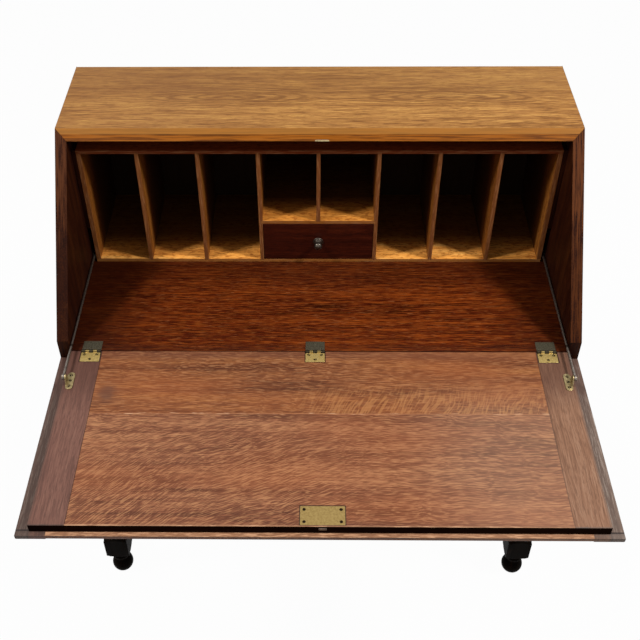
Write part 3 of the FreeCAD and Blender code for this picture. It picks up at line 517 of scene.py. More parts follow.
def gaps_round_fittings(place, colour):
    """Draw the dark gap round the lock plate and round each hinge leaf."""
    upper_face = strip(place, Z, writing_top - 1 * MM, FAR, 0.5 * MM)
    edge = 1 * MM
    for low, high in (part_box("lock_case"), *leaf_boxes):
        gap = overlap(
            upper_face, strip(place, X, low.x - edge, high.x + edge, 0.8 * MM),
            strip(place, Y, low.y - edge, high.y + edge, 0.8 * MM),
        )
        colour = stain(colour, (gap, "#1A0D08", 0.85))
    return colour


def folded(place):
    """Fold the places about the middle, so that one strip serves both ends."""
    return add(place, "ShaderNodeVectorMath", {"operation": "ABSOLUTE"}, {0: place})


def glued_joints(place, colour, seed):
    """Draw the pale, chipped joint between the boards and the crack at each cleat."""
    joint = strip(place, Y, board_joint - 0.5 * MM, board_joint + 0.5 * MM, 0.7 * MM)
    chipped = overlap(
        marks(place, X, 26, 3, seed),
        strip(place, Y, board_joint - 1.4 * MM, board_joint + 1.4 * MM, 1.2 * MM),
    )
    crack = overlap(
        strip(folded(place), X, cleat_joint - 0.6 * MM, cleat_joint, 0.7 * MM),
        strip(place, Z, writing_top - 3 * MM, FAR, 1 * MM),
    )
    return stain(
        colour, (joint, "#B4774F", 0.7), (chipped, "#D9A983", 0.9, 0.58, 0.68),
        (crack, "#2A130C", 0.8),
    )


def ink_spill(place, colour, seed):
    """Lay the soaked in spill at the left of the rear board, darkest in small spots."""
    x = 24 * MM - cleat_joint
    y = case_front - 98 * MM
    spill = overlap(
        strip(place, X, x - 1 * MM, x + 1 * MM, 30 * MM),
        strip(place, Y, y - 3 * MM, y + 3 * MM, 34 * MM),
    )
    patchy = overlap(spill, marks(place, X, 16, 9, seed, 1.0))
    return stain(colour, (spill, "#4E342B", 0.45), (patchy, "#4A3830", 0.55, 0.2, 0.5))


# %% Fall boards
def quarter_sawn(name, tones, seed, ray_share, redness, rear=False):
    """Make the oak of one board of the fall, with the plume and spill of the rear one."""
    material, place = start_finish(name)
    colour, streaks = oak_figure(place, X, tones, seed, 20, 0.5, 0.3)
    rays = climbing_rays(place, seed + 4)
    colour = stain(
        colour, (rays, "#C08A5E", ray_share, 0.52, 0.62),
        (rays, "#522A18", ray_share + 0.1, 0.5, 0.4),
    )
    if rear:
        colour = stain(colour, (fiddleback(place, 51.0), "#BC8450", 0.5))
        colour = ink_spill(place, colour, seed + 12)
    warm = marks(place, X, 300, 90, seed + 8, 1.0)
    colour = stain(colour, (warm, "#A0572C", redness, 0.4, 0.7))
    colour = glued_joints(place, colour, seed + 9)
    # Painted sheen: the paler patch at the front right stands for the light falling on it from
    # the right.
    painted_sheen = overlap(strip(place, X, 0.3, FAR, 0.2), strip(place, Y, -FAR, -0.22, 0.14))
    rubbed = strip(place, Y, -FAR, raised_front + 1 * MM, 5 * MM)
    hinge_end = strip(place, Y, case_front - 6 * MM, FAR, 22 * MM)
    colour = stain(
        colour, (painted_sheen, "#B08C74", 0.22), (rubbed, "#6A4030", 0.25),
        (hinge_end, "#6E4432", 0.4),
    )
    colour = gaps_round_fittings(place, colour)
    colour, shaded_face = rebate_wear_and_shade(place, colour, "#A87C5C")
    return polish(material, colour, streaks, 0.42, 0.25, shaded_face)


fall_oak = quarter_sawn(
    "quarter_sawn_front_oak", ("#502A19", "#885338", "#A8724E"), 5.0, 0.5, 0.25,
)
rear_fall_oak = quarter_sawn(
    "quarter_sawn_rear_oak", ("#4C2410", "#834C2B", "#A2693B"), 9.0, 0.36, 0.35, rear=True,
)

# %% [markdown]
# The cleats: plain oak across the ends of the fall
#
# A cleat keeps a wide board flat. Its grain runs from front to back, and the
# stain took greyer on it. The right one has lighter tones, painted light from
# the right, and its lip is scratched pale.

# %% Cleats
def grey_stained_cleat(name, tones, lip_tone, scratch_share, seed):
    """Make the oak of one cleat."""
    material, place = start_finish(name)
    colour, streaks = oak_figure(place, Y, tones, seed, 8, 0.7, 0.4)
    ends = folded(place)
    lip = strip(ends, X, raised_side + 0.5 * MM, FAR, 0.6 * MM)
    scratches = overlap(lip, marks(place, Y, 26, 1.6, seed + 3, 3.0))
    crack = overlap(
        strip(ends, X, raised_side - 0.6 * MM, raised_side + 0.8 * MM, 0.6 * MM),
        strip(place, Z, -FAR, writing_top - 1 * MM, 1 * MM),
    )
    worn = strip(ends, X, raised_side - 3 * MM, raised_side, 2 * MM)
    hinge_end = strip(place, Y, case_front - 60 * MM, FAR, 90 * MM)
    colour = stain(
        colour, (lip, lip_tone, 0.8), (scratches, "#A8978A", scratch_share, 0.5, 0.62),
        (crack, "#1E1410", 0.8), (worn, lip_tone, 0.4), (hinge_end, "#4E3026", 0.6),
    )
    colour = gaps_round_fittings(place, colour)
    colour, shaded_face = rebate_wear_and_shade(place, colour, lip_tone, lip_tone)
    return polish(material, colour, streaks, 0.45, 0.25, shaded_face)


left_cleat_oak = grey_stained_cleat(
    "grey_stained_left_oak", ("#54382F", "#714C40", "#835D4E"), "#4A3B33", 0.2, 6.0,
)
# Painted light: the right cleat's lighter tones stand for the light falling from the right.
right_cleat_oak = grey_stained_cleat(
    "lit_right_cleat_oak", ("#634331", "#8A634B", "#A27D64"), "#665850", 0.6, 16.0,
)

# %% [markdown]
# The pigeonholes: thin oak, bare behind
#
# The thin boards are golden at the front. Further in they are darkened with
# painted shade, where the light doesn't reach.

# %% Pigeonhole boards
def thin_oak(name, tones, along, seed, edge_tone, depth_shade_tone="#160903"):
    """Make the thin oak of the pigeonholes, with painted shade towards the back."""
    material, place = start_finish(name)
    colour, streaks = oak_figure(place, along, tones, seed, 10, 0.5, 0.6)
    spots = marks(place, along, 11, 4, seed + 3, 4.0)
    # Painted shade: the wood darkens towards the back, where the light doesn't reach.
    deep = strip(place, Y, unit_front + 80 * MM, FAR, 60 * MM)
    rim = strip(place, Y, unit_front - 1 * MM, unit_front + 0.6 * MM, 0.6 * MM)
    # Painted highlight: pale marks along the front arris.
    arris_highlight = overlap(rim, marks(place, along, 30, 2, seed + 5))
    colour = stain(
        colour, (spots, tones[0], 0.7, 0.52, 0.62), (deep, depth_shade_tone, 0.85),
        (rim, edge_tone, 0.75), (arris_highlight, "#B07A4E", 0.6, 0.5, 0.62),
    )
    return polish(material, colour, streaks, 0.5, 0.1)


pigeonhole_oak = thin_oak(
    "thin_upright_oak", ("#5A2F10", "#965A22", "#BE7F38"), Z, 7.0, "#85502E",
)
# Painted light: the floors and the shelf are the same thin oak as the uprights, given far lighter
# tones for the light that falls on them from above.
pigeonhole_floor_oak = thin_oak(
    "thin_floor_oak", ("#9A521C", "#F6A84C", "#FFCC74"), X, 8.0, "#8E5426", "#451A08",
)
pigeonhole_shelf_oak = thin_oak(
    "thin_shelf_oak", ("#8A4614", "#D58A38", "#E8A854"), X, 9.0, "#8E5426", "#301206",
)
# Painted shade: the roof's front edge is given a darker tone for the shade under the top.
pigeonhole_roof_oak = thin_oak(
    "roof_oak_with_painted_shade", ("#6A2E12", "#9A4A20", "#B8622C"), X, 18.0, "#74361A",
)

# %% [markdown]
# Wood that nobody polished
#
# Drawer linings and the back panel are bare oak and ply. With no polish there is
# hardly any shine, and the wood has only yellowed with age. The back panel's
# face inside the case is painted near black, as painted shade.

# %% Bare wood
def bare_wood(name, tones, along, seed, front_stain_and_shade=None):
    """Make unpolished wood, with a dark front face if asked: a stain on the bottom board, painted
    shade on the back panel.
    """
    material, place = start_finish(name)
    colour, streaks = oak_figure(place, along, tones, seed, 14, 0.5, 0.6)
    rubbed = marks(place, along, 60, 30, seed + 3, 4.0)
    colour = stain(colour, (rubbed, tones[0], 0.35, 0.5, 0.75))
    if front_stain_and_shade:
        colour = stain(colour, (facing(place, Y, -1, -0.8), front_stain_and_shade, 0.95))
    return polish(material, colour, streaks, 0.65, 0.1)


bare_lining_oak = bare_wood("bare_lining_oak", ("#86653F", "#A98658", "#C4A377"), Y, 10.0)
# Painted shade: the back panel's front face is near black, as the inside of the case is dark.
back_panel_oak = bare_wood(
    "bare_back_panel", ("#6E5334", "#90704A", "#AB8B61"), Z, 11.0, "#1A0B05",
)
bottom_board_oak = bare_wood(
    "bare_bottom_board", ("#7A5C3A", "#9C7A50", "#B8976C"), X, 25.0, "#2C1006",
)

# %% [markdown]
# The small drawer: mahogany, and the stand: black stained oak
#
# The little drawer has a front of dense red mahogany with a short, wavy grain.
# The legs, rails and stretchers were stained so dark that only a faint grain
# shows.

# %% Drawer front and stand
def polished_mahogany():
    """Make the mahogany of the small drawer's front."""
    material, place = start_finish("polished_mahogany")
    wavy = sway(place, 5, 40, 13.0)
    tones = ("#220703", "#3E1206", "#5E240E")
    colour, streaks = oak_figure(wavy, X, tones, 13.0, 8, 0.5, 0.5)
    coat = {"Coat Weight": 0.12, "Coat Roughness": 0.2}
    return polish(material, colour, streaks, 0.36, 0.2, **coat)


def black_stained(name, along, seed):
    """Make the dark oak of the stand."""
    material, place = start_finish(name)
    colour, streaks = oak_figure(place, along, ("#040201", "#090502", "#130B05"), seed, 12)
    rubbed = marks(place, along, 40, 12, seed + 3, 3.0)
    colour = stain(colour, (rubbed, "#2A1B10", 0.5, 0.6, 0.75))
    return polish(material, colour, streaks, 0.5, 0.015)


small_drawer_mahogany = polished_mahogany()
upright_stand_oak = black_stained("black_stained_leg_oak", Z, 12.0)
side_stand_oak = black_stained("black_stained_rail_oak", Y, 14.0)
cross_stand_oak = black_stained("black_stained_stretcher_oak", X, 15.0)

# %% [markdown]
# Brass, steel and bronze
#
# The hinges, lock plate and stay brackets are sheet brass that was polished once
# and has dulled since: bright where hands rub it, brown where they don't. The
# rods are drawn steel. A metal takes all its colour from its reflection, so the
# stain goes into the base colour and the roughness together. Old grease lies
# dark along the line of the hinge pins.

# %% Metals
def old_metal(name, bright, stained, share, roughness, spot_mm, seed):
    """Make a metal that has dulled in spots, with fine scratches from use."""
    material, place = start_finish(name)
    spots = marks(place, X, spot_mm, spot_mm, seed, 4.0)
    # Real scratches are hair fine, so they are drawn half a millimetre wide.
    scratches = marks(place, X, 12, 0.5, seed + 1)
    middle = 0.62 - share * 0.24
    cover = add(
        place, "ShaderNodeMapRange",
        {"From Min": middle - 0.16, "From Max": middle + 0.16, "To Max": 0.8},
        {"Value": spots},
    )
    metal = add(
        place, "ShaderNodeMix",
        {"data_type": "RGBA", 6: linear(bright), 7: linear(stained)}, {0: cover}, 2,
    )
    pin_line = strip(place, Y, case_front - 2.6 * MM, case_front + 2.6 * MM, 0.8 * MM)
    dull = add(
        place, "ShaderNodeMapRange",
        {"From Min": 0.3, "From Max": 0.7, "To Min": roughness - 0.08,
         "To Max": roughness + 0.14},
        {"Value": spots},
    )
    soft = add(place, "ShaderNodeBevel", {"samples": 4, "Radius": 0.3 * MM})
    scored = add(
        place, "ShaderNodeBump", {"Strength": 0.25, "Distance": 0.05 * MM},
        {"Height": scratches, "Normal": soft},
    )
    surface = add(
        place, "ShaderNodeBsdfPrincipled", {"Metallic": 1.0},
        {"Base Color": stain(metal, (pin_line, "#1C140C", 0.75)), "Roughness": dull,
         "Normal": scored},
    )
    return close_finish(material, surface)


rubbed_brass = old_metal("rubbed_sheet_brass", "#F2D488", "#B0904C", 0.4, 0.36, 4, 20.0)
pale_brass = old_metal("pale_bracket_brass", "#B8A67A", "#6E5E40", 0.45, 0.42, 4, 21.0)
dull_brass = old_metal("dulled_lock_brass", "#A58C58", "#806A3E", 0.5, 0.48, 4, 24.0)
brown_brass = old_metal("tarnished_brass", "#6A6452", "#3A342A", 0.5, 0.5, 3, 22.0)
dirty_brass = old_metal("screw_head_brass", "#2E2418", "#120C08", 0.5, 0.5, 2, 23.0)
drawn_steel = old_metal("dull_drawn_steel", "#8E847A", "#4A403A", 0.45, 0.4, 5, 26.0)
dark_bronze = old_metal("dark_cast_bronze", "#6A6258", "#24201C", 0.55, 0.36, 3, 28.0)
print("finishes in all:", len(bpy.data.materials))

# %% [markdown]
# Give every board its finish
#
# The names of the nodes say what each board is, so a short list of words is
# enough to dress them all. A word further down the list wins over one above it.

# %% Dress the boards
words_of_finishes = (
    (stained_side_oak, "case_side", "stay_slot_filler"),
    (golden_top_oak, "top_board"),
    (back_panel_oak, "back_panel"),
    (bottom_board_oak, "bottom_board"),
    (polished_writing_oak, "writing_board"),
    (pigeonhole_oak, "pigeonhole"),
    (pigeonhole_floor_oak, "pigeonhole_base"),
    (pigeonhole_shelf_oak, "pigeonhole_shelf"),
    (pigeonhole_roof_oak, "pigeonhole_top"),
    (bare_lining_oak, "drawer"),
    (small_drawer_mahogany, "small_drawer_front"),
    (stained_side_oak, "long_drawer_front"),
    (dark_bronze, "drawer_knob"),
    (fall_oak, "fall_front_board"),
    (rear_fall_oak, "fall_rear_board"),
    (left_cleat_oak, "fall_cleat_left"),
    (right_cleat_oak, "fall_cleat_right"),
    (upright_stand_oak, "leg_"),
    (side_stand_oak, "side_rail", "stretcher_side"),
    (cross_stand_oak, "stretcher_cross"),
    (rubbed_brass, "hinge_leaves_fall", "keyhole_escutcheon"),
    (pale_brass, "stay_bracket", "lock_strike"),
    (dull_brass, "lock_case"),
    (brown_brass, "hinge_leaves_case", "case_hinge_screws"),
    (dirty_brass, "fall_fitting_screws"),
    (drawn_steel, "stay_rod", "stay_stop_pegs", "hinge_pins", "lock_bolt"),
)
for node_name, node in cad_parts.items():
    for finish, *words in words_of_finishes:
        if any(word in node_name for word in words):
            chosen = finish
    node.data.materials.clear()
    node.data.materials.append(chosen)
print("dressed", len(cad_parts), "nodes")

# %% [markdown]
# Smooth small pieces
#
# The engineering model keeps its round work flat sided, to stay light. Up close
# a turned leg or a knob wants a true round, so those are made again here, each
# in the place of the node it stands for. They could be carved with booleans,
# but a lathe, a bent bar and a cut plate are how the real ones were made.

# %% Workshop tools
sharpest_smooth_edge = math.radians(32)


def mesh_of(name, shape, finish):
    """Turn a finished shape into a mesh of one finish."""
    mesh = bpy.data.meshes.new(name)
    shape.to_mesh(mesh)
    shape.free()
    mesh.materials.append(finish)
    return mesh


def put_in_scene(name, data):
    """Make an object of a mesh, a lamp or a camera and put it in the scene."""
    thing = bpy.data.objects.new(name, data)
    bpy.context.scene.collection.objects.link(thing)
    return thing


def settle(name, shape, finish, body, stands_for):
    """Turn a finished shape into a piece that rides on its body."""
    bmesh.ops.recalc_face_normals(shape, faces=shape.faces)
    mesh = mesh_of(name, shape, finish)
    mesh.shade_smooth()
    mesh.set_sharp_from_angle(angle=sharpest_smooth_edge)
    thing = put_in_scene(name, mesh)
    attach(thing, body)
    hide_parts(stands_for)
    print(name, "has", len(mesh.polygons), "faces")


def join_rings(shape, rings):
    """Skin a row of rings of places and close both ends."""
    rings = [[shape.verts.new(spot) for spot in ring] for ring in rings]
    for low, high in zip(rings, rings[1:]):
        for index in range(len(low)):
            before = index - 1
            shape.faces.new((low[before], low[index], high[index], high[before]))
    shape.faces.new(rings[0])
    shape.faces.new(rings[-1])


def turn(shape, profile, place, steps=40, square=None):
    """Spin radii and heights into a round, kept inside a square bar if one is given."""
    rings = []
    for radius, height in profile:
        ring = []
        for step in range(steps):
            angle = 2 * math.pi * step / steps
            out = Vector((math.cos(angle), math.sin(angle)))
            reach = min(radius, square / max(map(abs, out))) if square else radius
            ring.append(place @ Vector((*(out * reach), height)))
        rings.append(ring)
    join_rings(shape, rings)


def cut_plate(shape, outline, place, thickness, edge):
    """Cut a plate from an outline and break its upper edge, as a file would."""
    middle = sum((Vector(point) for point in outline), Vector((0, 0))) / len(outline)
    rings = []
    for height, inset in ((0, 0), (thickness - edge, 0), (thickness, edge)):
        ring = []
        for point in outline:
            reach = Vector(point) - middle
            pulled = middle + reach * (1 - inset / max(reach.length, edge))
            ring.append(place @ Vector((*pulled, height)))
        rings.append(ring)
    join_rings(shape, rings)


def arc(middle, radius, start, end, steps):
    """Return points along part of a circle, between two angles in degrees."""
    angles = [math.radians(start + (end - start) * step / steps) for step in range(steps + 1)]
    x, y = middle
    return [(x + radius * math.cos(turned), y + radius * math.sin(turned)) for turned in angles]


def round_cornered(half_width, half_height, corner):
    """Return the outline of a rectangle whose corners are rounded."""
    points = []
    for x_sign, y_sign, start in ((1, 1, 0), (-1, 1, 90), (-1, -1, 180), (1, -1, 270)):
        middle = (x_sign * (half_width - corner), y_sign * (half_height - corner))
        points += arc(middle, corner, start, start + 90, 4)
    return points


def drum(radius, length, edge):
    """Return the profile of a short drum whose two rims are broken."""
    return [(radius - edge, 0), (radius, edge), (radius, length - edge), (radius - edge, length)]


along_x = Matrix.Rotation(math.radians(90), 4, "Y")
along_front = Matrix.Rotation(math.radians(90), 4, "X")
print("screws in the fall", len(solids_of("fall_fitting_screws")))

# %% [markdown]
# Turned legs
#
# Each leg was a square bar set in a lathe. Where the tool never reached, the bar
# stays square, and at the ends of each square the corners are turned away. So
# one profile is spun, and every radius is cut back to the bar's own square.

# %% Legs
leg_low, leg_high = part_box("leg_front_left")
leg_half = (leg_high.x - leg_low.x) / 2
diagonal = leg_half * math.sqrt(2)
leg_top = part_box("bottom_board")[0].z
foot_radius = 23 * MM
flat_radius = 10 * MM
neck_radius = 14 * MM
ring_radius = 20 * MM
ball_z = math.sqrt(foot_radius ** 2 - flat_radius ** 2)
ring_low = ball_z + math.sqrt(foot_radius ** 2 - neck_radius ** 2) + 8.5 * MM
ring_high = ring_low + 16 * MM
block_low = ring_high + 8.5 * MM
block_high = block_low + 65 * MM
column_end = leg_top - 60 * MM
bead_length = 12 * MM
bead_radius = 17 * MM
column_foot = 12 * MM
column_belly = 19 * MM
column_top = 12.5 * MM
belly_share = 0.28


def block_profile(low, high):
    """Return a square of the bar whose corners are turned away at both ends."""
    shoulder = 6 * MM
    start = leg_half - 3 * MM
    points = []
    for step in range(5):
        share = step / 4
        reach = start + (diagonal - start) * math.sin(share * math.pi / 2)
        points.append((reach, low + shoulder * share))
    return points + [(radius, low + high - height) for radius, height in reversed(points)]


def bead_profile(low, length, neck, radius):
    """Return a half round bead between two necks."""
    points = [(neck, low)]
    for step in range(7):
        angle = math.pi * step / 6
        reach = neck + (radius - neck) * math.sin(angle)
        points.append((reach, low + length * (0.5 - 0.42 * math.cos(angle))))
    return points + [(neck, low + length)]


def vase_profile(low, high):
    """Return the swelling column between the beads."""
    points = []
    for step in range(17):
        share = step / 16
        if share < belly_share:
            swell = math.sin(math.pi / 2 * share / belly_share)
            radius = column_foot + (column_belly - column_foot) * swell
        else:
            bend = math.cos(math.pi * (share - belly_share) / (1 - belly_share))
            radius = column_top + (column_belly - column_top) * (1 + bend) / 2
        points.append((radius, low + (high - low) * share))
    return points


def leg_profile():
    """Return the whole leg from the floor to the underside of the case."""
    low_angle = -math.degrees(math.acos(flat_radius / foot_radius))
    high_angle = math.degrees(math.acos(neck_radius / foot_radius))
    points = arc((0, ball_z), foot_radius, low_angle, high_angle, 14)
    points += bead_profile(ring_low, ring_high - ring_low, neck_radius, ring_radius)
    points += [(neck_radius, block_low - 0.5 * MM)]
    points += block_profile(block_low, block_high)
    points += bead_profile(block_high, bead_length, column_foot, bead_radius)
    points += vase_profile(block_high + 2 * bead_length, column_end - 2 * bead_length)
    points += bead_profile(column_end - bead_length, bead_length, column_foot, bead_radius)
    return points + block_profile(column_end, leg_top)


for node_name in ("leg_front_left", "leg_front_right", "leg_back_left", "leg_back_right"):
    middle = sum(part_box(node_name), Vector()) / 2
    shape = bmesh.new()
    turn(shape, leg_profile(), Matrix.Translation((middle.x, middle.y, 0)), square=leg_half)
    settle("turned_" + node_name, shape, upright_stand_oak, "case", node_name)

# %% [markdown]
# Knobs
#
# The small drawer has one dark cast knob and the long drawer two larger ones:
# a stepped flange against the wood, a hollow neck, and a domed head.

# %% Knobs
knob_length = 19 * MM


def knob_profile(size):
    """Return a knob's outline: flange with a step, hollow neck, domed head."""
    points = [(10, 0), (10, 0.9), (9.4, 1.5), (7.6, 1.7), (7.2, 2.4), (5.4, 3.0)]
    points += [(3.9, 4.2), (3.4, 6.5), (3.7, 8.6), (5.8, 10.0)]
    points += [(7.4, 11.2), (8.0, 13.0), (7.7, 15.2), (6.4, 17.2), (4.2, 18.4), (1.6, 19)]
    return [(radius * size * MM, depth * size * MM) for radius, depth in points]


for node_name, drawer in (
    ("small_drawer_knob", "small_drawer"), ("long_drawer_knobs", "long_drawer"),
):
    shape = bmesh.new()
    face_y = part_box(drawer + "_front")[0].y
    for low, high in solids_of(node_name):
        middle = (low + high) / 2
        middle.y = face_y
        size = (face_y - low.y) / knob_length
        turn(shape, knob_profile(size), Matrix.Translation(middle) @ along_front)
    settle("cast_" + node_name, shape, dark_bronze, drawer, node_name)

# %% [markdown]
# Hinges
#
# Three brass hinges let the fall down. The leaf is a stamped plate let in flush,
# and its knuckles are rolled round the pin. The two sides take turns along the
# pin: five knuckles, of which the case has three and the fall two.

# %% Hinge leaves and knuckles
knuckle_radius = 3 * MM
knuckle_gap = 0.15 * MM
knuckle_edge = 0.4 * MM
leaf_thick = 2 * MM
leaf_start = 3.6 * MM
web_half = 2 * MM


def hinge_side(node_name, own_knuckles, toward):
    """Return the leaves and knuckles of one side of all three hinges."""
    shape = bmesh.new()
    for low, high in solids_of(node_name):
        pitch = (high.x - low.x) / 5
        near = case_front + toward * leaf_start
        far = high.y if toward > 0 else low.y
        middle = ((low.x + high.x) / 2, (near + far) / 2, writing_top - leaf_thick)
        outline = round_cornered(2.5 * pitch, abs(far - near) / 2, 1.2 * MM)
        cut_plate(shape, outline, Matrix.Translation(middle), leaf_thick, 0.3 * MM)
        for index in own_knuckles:
            first = low.x + index * pitch + knuckle_gap
            place = Matrix.Translation((first, case_front, writing_top)) @ along_x
            length = pitch - 2 * knuckle_gap
            turn(shape, drum(knuckle_radius, length, knuckle_edge), place, 20)
            web = (first + length / 2, case_front + toward * web_half, writing_top - leaf_thick)
            outline = round_cornered(length / 2, web_half, 0.2 * MM)
            cut_plate(shape, outline, Matrix.Translation(web), leaf_thick, 0.1 * MM)
    return shape


for body, own_knuckles, toward, finish, slot in (
    ("fall", (1, 3), -1, rubbed_brass, "aged_brass"),
    ("case", (0, 2, 4), 1, brown_brass, "tarnished_brass"),
):
    node_name = "hinge_leaves_" + body
    shape = hinge_side(node_name, own_knuckles, toward)
    settle("rolled_hinges_of_the_" + body, shape, finish, body, node_name)

# %% [markdown]
# Slotted screws
#
# Every fitting is held by brass wood screws with one slot. A slot is under a
# millimetre wide, but it is what makes a dot read as a screw. Each head is two
# halves of a low dome with the slot's floor between them, turned its own way.

# %% Screws
head_radius = 2.7 * MM
head_depth = 1.2 * MM
slot_depth = 0.35 * MM
slot_half = 0.4 * MM
dome_low = -0.6 * MM
dome_thick = 0.8 * MM


def screw_head(shape, place):
    """Add one slotted head that stands just proud of its plate."""
    turn(shape, [(head_radius * 0.8, -head_depth), (head_radius * 0.98, -slot_depth)], place, 20)
    start = math.degrees(math.asin(slot_half / head_radius))
    for half_turn in (0, 180):
        turned = place @ Matrix.Rotation(math.radians(half_turn), 4, "Z")
        outline = arc((0, 0), head_radius, start, 180 - start, 12)
        deep = turned @ Matrix.Translation((0, 0, dome_low))
        cut_plate(shape, outline, deep, dome_thick, 0.25 * MM)


for node_name, finish, slot, body in (
    ("fall_fitting_screws", dirty_brass, "aged_brass", "fall"),
    ("case_hinge_screws", brown_brass, "tarnished_brass", "case"),
):
    shape = bmesh.new()
    for index, (low, high) in enumerate(solids_of(node_name)):
        top = Matrix.Translation(((low.x + high.x) / 2, (low.y + high.y) / 2, high.z))
        screw_head(shape, top @ Matrix.Rotation(index * 0.9, 4, "Z"))
    settle("slotted_" + node_name, shape, finish, body, node_name)

# %% [markdown]
# Stays
#
# Each stay is a steel rod. Its front end is flattened into an eye that turns on
# a brass bracket, and its back end is bent down to catch on a peg in the case.
# A rod is one line with a thickness, so it is swept along its path.

# %% Rods
rod_radius = 2.2 * MM
rod_bend = 6 * MM
eye_radius = 5 * MM
eye_width = 4.4 * MM


def sweep_rod(shape, x, path, steps=20):
    """Carry the round of the rod along a path in the upright plane at x."""
    rings = []
    side = Vector((1, 0, 0))
    for index, (y, z) in enumerate(path):
        before = path[max(index - 1, 0)]
        after = path[min(index + 1, len(path) - 1)]
        run = Vector((0, after[0] - before[0], after[1] - before[1])).normalized()
        up = side.cross(run)
        ring = []
        for step in range(steps):
            angle = 2 * math.pi * step / steps
            out = side * math.cos(angle) + up * math.sin(angle)
            ring.append(Vector((x, y, z)) + out * rod_radius)
        rings.append(ring)
    join_rings(shape, rings)


def bent_rod(hand):
    """Make one rod with its eye and its turned down tail."""
    low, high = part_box("stay_rod_" + hand)
    x = (low.x + high.x) / 2
    pivot_y = low.y + eye_radius
    rod_z = high.z - eye_radius
    tail_y = high.y - rod_radius
    corner = (tail_y - rod_bend, rod_z - rod_bend)
    shape = bmesh.new()
    path = [(pivot_y + 3 * MM, rod_z)] + arc(corner, rod_bend, 90, 0, 8) + [(tail_y, low.z)]
    sweep_rod(shape, x, path)
    place = Matrix.Translation((x - eye_width / 2, pivot_y, rod_z)) @ along_x
    turn(shape, drum(eye_radius, eye_width, 0.6 * MM), place, 32)
    settle(
        "bent_stay_rod_" + hand, shape, drawn_steel, "stay_" + hand,
        "stay_rod_" + hand,
    )
    return x, pivot_y, rod_z


# %% [markdown]
# Stay brackets
#
# A bracket is a brass plate with round ends, screwed to the fall. Its ear stands
# up beside the eye of the rod, and a rivet goes through both. The ear is cut
# lying flat, as the plate is, and one matrix then sets it upright.

# %% Brackets
plate_half = 6.35 * MM
plate_thick = 1.6 * MM
ear_foot_half = 9 * MM
ear_thick = 2 * MM
rivet_head = 0.9 * MM


def rivet_profile(span):
    """Return the rivet: a plain shank and a low round head."""
    neck = span - rivet_head
    return [
        (2 * MM, 0), (2 * MM, neck), (3.2 * MM, neck), (3 * MM, neck + 0.5 * MM),
        (1.8 * MM, span),
    ]


def riveted_bracket(hand, x, pivot_y, rod_z):
    """Make the bracket on the fall: plate, upright ear and the rivet through it."""
    sign = 1 if x > 0 else -1
    low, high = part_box("stay_bracket_" + hand)
    plate_x = sign * (min(abs(low.x), abs(high.x)) + plate_half)
    reach = (high.y - low.y) / 2 - plate_half
    outline = arc((0, reach), plate_half, 0, 180, 14) + arc((0, -reach), plate_half, 180, 360, 14)
    shape = bmesh.new()
    middle = Matrix.Translation((plate_x, (low.y + high.y) / 2, writing_top))
    cut_plate(shape, outline, middle, plate_thick, 0.3 * MM)
    gap = eye_width / 2 + 0.3 * MM
    ear_x = x - sign * gap
    ear = [(side * ear_foot_half, writing_top - rod_z) for side in (-1, 1)]
    ear += arc((0, 0), eye_radius, 0, 180, 12)
    ear_low = ear_x - (ear_thick if sign > 0 else 0)
    upright = Matrix(((0, 0, 1, ear_low), (1, 0, 0, pivot_y), (0, 1, 0, rod_z), (0, 0, 0, 1)))
    cut_plate(shape, ear, upright, ear_thick, 0.3 * MM)
    start = ear_x - sign * ear_thick / 2
    end = x + sign * (gap + rivet_head)
    span = abs(end - start)
    rivet = rivet_profile(span)
    if sign < 0:
        rivet = [(radius, span - height) for radius, height in reversed(rivet)]
    place = Matrix.Translation((min(start, end), pivot_y, rod_z)) @ along_x
    turn(shape, rivet, place, 24)
    settle(
        "riveted_stay_bracket_" + hand, shape, pale_brass, "fall",
        "stay_bracket_" + hand,
    )


for hand in ("left", "right"):
    riveted_bracket(hand, *bent_rod(hand))

# %% [markdown]
# Floor and room
#
# The photograph is of a bureau cut out against white. A pale floor that shines
# to the camera does the same and still keeps a little of the shadow. The room
# is white to the camera too, but lights the bureau with a fifth of that.

# %% Floor and world
floor_half = 9
paper_white = 0.975
room_light = 0.2


def seen_rays(tree):
    """Return 1 for rays from the camera, from a mirror and from glass."""
    rays = add(tree, "ShaderNodeLightPath").node.outputs
    mask = rays["Is Camera Ray"]
    for other in ("Is Glossy Ray", "Is Transmission Ray"):
        mask = add(tree, "ShaderNodeMath", {"operation": "MAXIMUM"}, {0: mask, 1: rays[other]})
    return mask


def white_paper_floor():
    """Make paper that shines white to the camera and still takes a shadow."""
    material = bpy.data.materials.new("white_paper_floor")
    tree = emptied_tree(material)
    paper = add(tree, "ShaderNodeBsdfDiffuse", {"Color": linear("#D0CFCD")})
    glow = add(tree, "ShaderNodeEmission", {"Color": (1, 1, 1, 1), "Strength": 1.0})
    seen = add(
        tree, "ShaderNodeMath", {"operation": "MULTIPLY", 1: paper_white}, {0: seen_rays(tree)},
    )
    mixed = add(tree, "ShaderNodeMixShader", None, {0: seen, 1: paper, 2: glow})
    return close_finish(material, mixed)


shape = bmesh.new()
bmesh.ops.create_grid(shape, x_segments=2, y_segments=2, size=floor_half)
floor = put_in_scene("paper_floor", mesh_of("paper_floor", shape, white_paper_floor()))

world = bpy.data.worlds.new("even_room")
bpy.context.scene.world = world
tree = emptied_tree(world)
fill = add(tree, "ShaderNodeMapRange", {"To Min": room_light}, {"Value": seen_rays(tree)})
sky = add(tree, "ShaderNodeBackground", {"Color": (1, 1, 1, 1)}, {"Strength": fill})
add(tree, "ShaderNodeOutputWorld", None, {"Surface": sky})

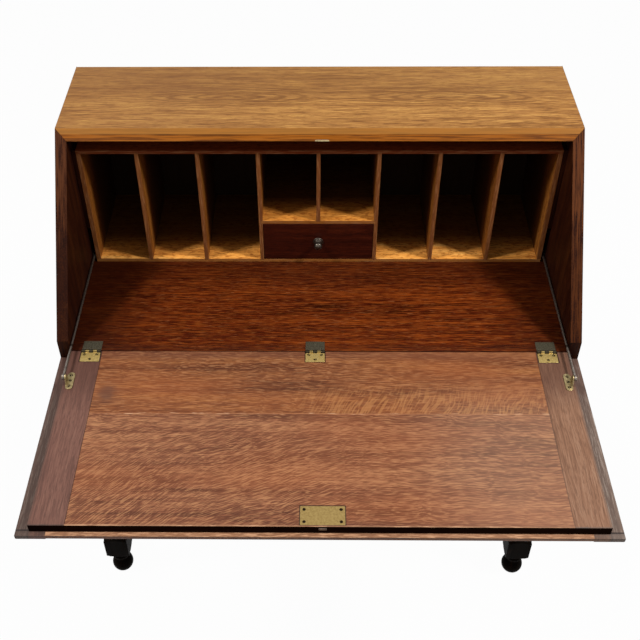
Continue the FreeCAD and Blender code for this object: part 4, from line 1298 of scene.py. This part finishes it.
# %% [markdown]
# Two lamps
#
# The two lamps hang high to the left and the right, barely in front of the
# pigeonholes. They light the top and the fall and leave upright faces dark. They
# reach only a few centimetres into the pigeonholes, where the uprights cut their
# light to bright arches, so each lamp is small enough to keep those edges crisp.

# %% Lamps
lamp_size = 0.3
lamp_y = -0.36
lamp_height = 2.7
aim = Vector((0, 0, 0.8))


def soft_lamp(name, x, watts):
    """Hang a small square lamp at one side and aim it at the bureau."""
    lamp = bpy.data.lights.new(name, "AREA")
    lamp.size = lamp_size
    lamp.energy = watts
    thing = put_in_scene(name, lamp)
    thing.location = (x, lamp_y, lamp_height)
    thing.rotation_euler = (aim - thing.location).to_track_quat("-Z", "Y").to_euler()
    print(name, "gives", watts, "W")


soft_lamp("lamp_right", 1.5, 44)
soft_lamp("lamp_left", -1.5, 34)

# %% [markdown]
# Camera
#
# The camera stands 1.2 m in front of the case and as far above the writing
# board, and looks down at 44 degrees. The numbers come from fitting a camera to
# the corners of the bureau in the photograph, so they aren't round. The lens is
# shifted sideways, because the bureau isn't in the middle of its picture.

# %% Camera
focal_px = 969.36
photo_px = 640
middle_px = 300.52
look_down = 43.936
turned_left = 1.1105
tilted = -0.6504
to_the_left = 7.51 * MM
in_front = 1188.59 * MM
above = 1222.66 * MM
camera_lens = bpy.data.cameras.new("camera")
camera_lens.sensor_width = 36
camera_lens.lens = focal_px / photo_px * camera_lens.sensor_width
camera_lens.shift_x = (photo_px / 2 - middle_px) / photo_px
camera_lens.clip_end = 60
camera = put_in_scene("camera", camera_lens)
bpy.context.scene.camera = camera
yaw = Matrix.Rotation(math.radians(turned_left), 4, "Z")
pitch = Matrix.Rotation(math.radians(90 - look_down), 4, "X")
roll = Matrix.Rotation(math.radians(tilted), 4, "Z")
spot = Vector((-to_the_left, case_front - in_front, writing_top + above))
camera.matrix_world = Matrix.Translation(spot) @ yaw @ pitch @ roll
bpy.context.scene.view_settings.view_transform = "Standard"
print("camera at", [round(c, 3) for c in spot])
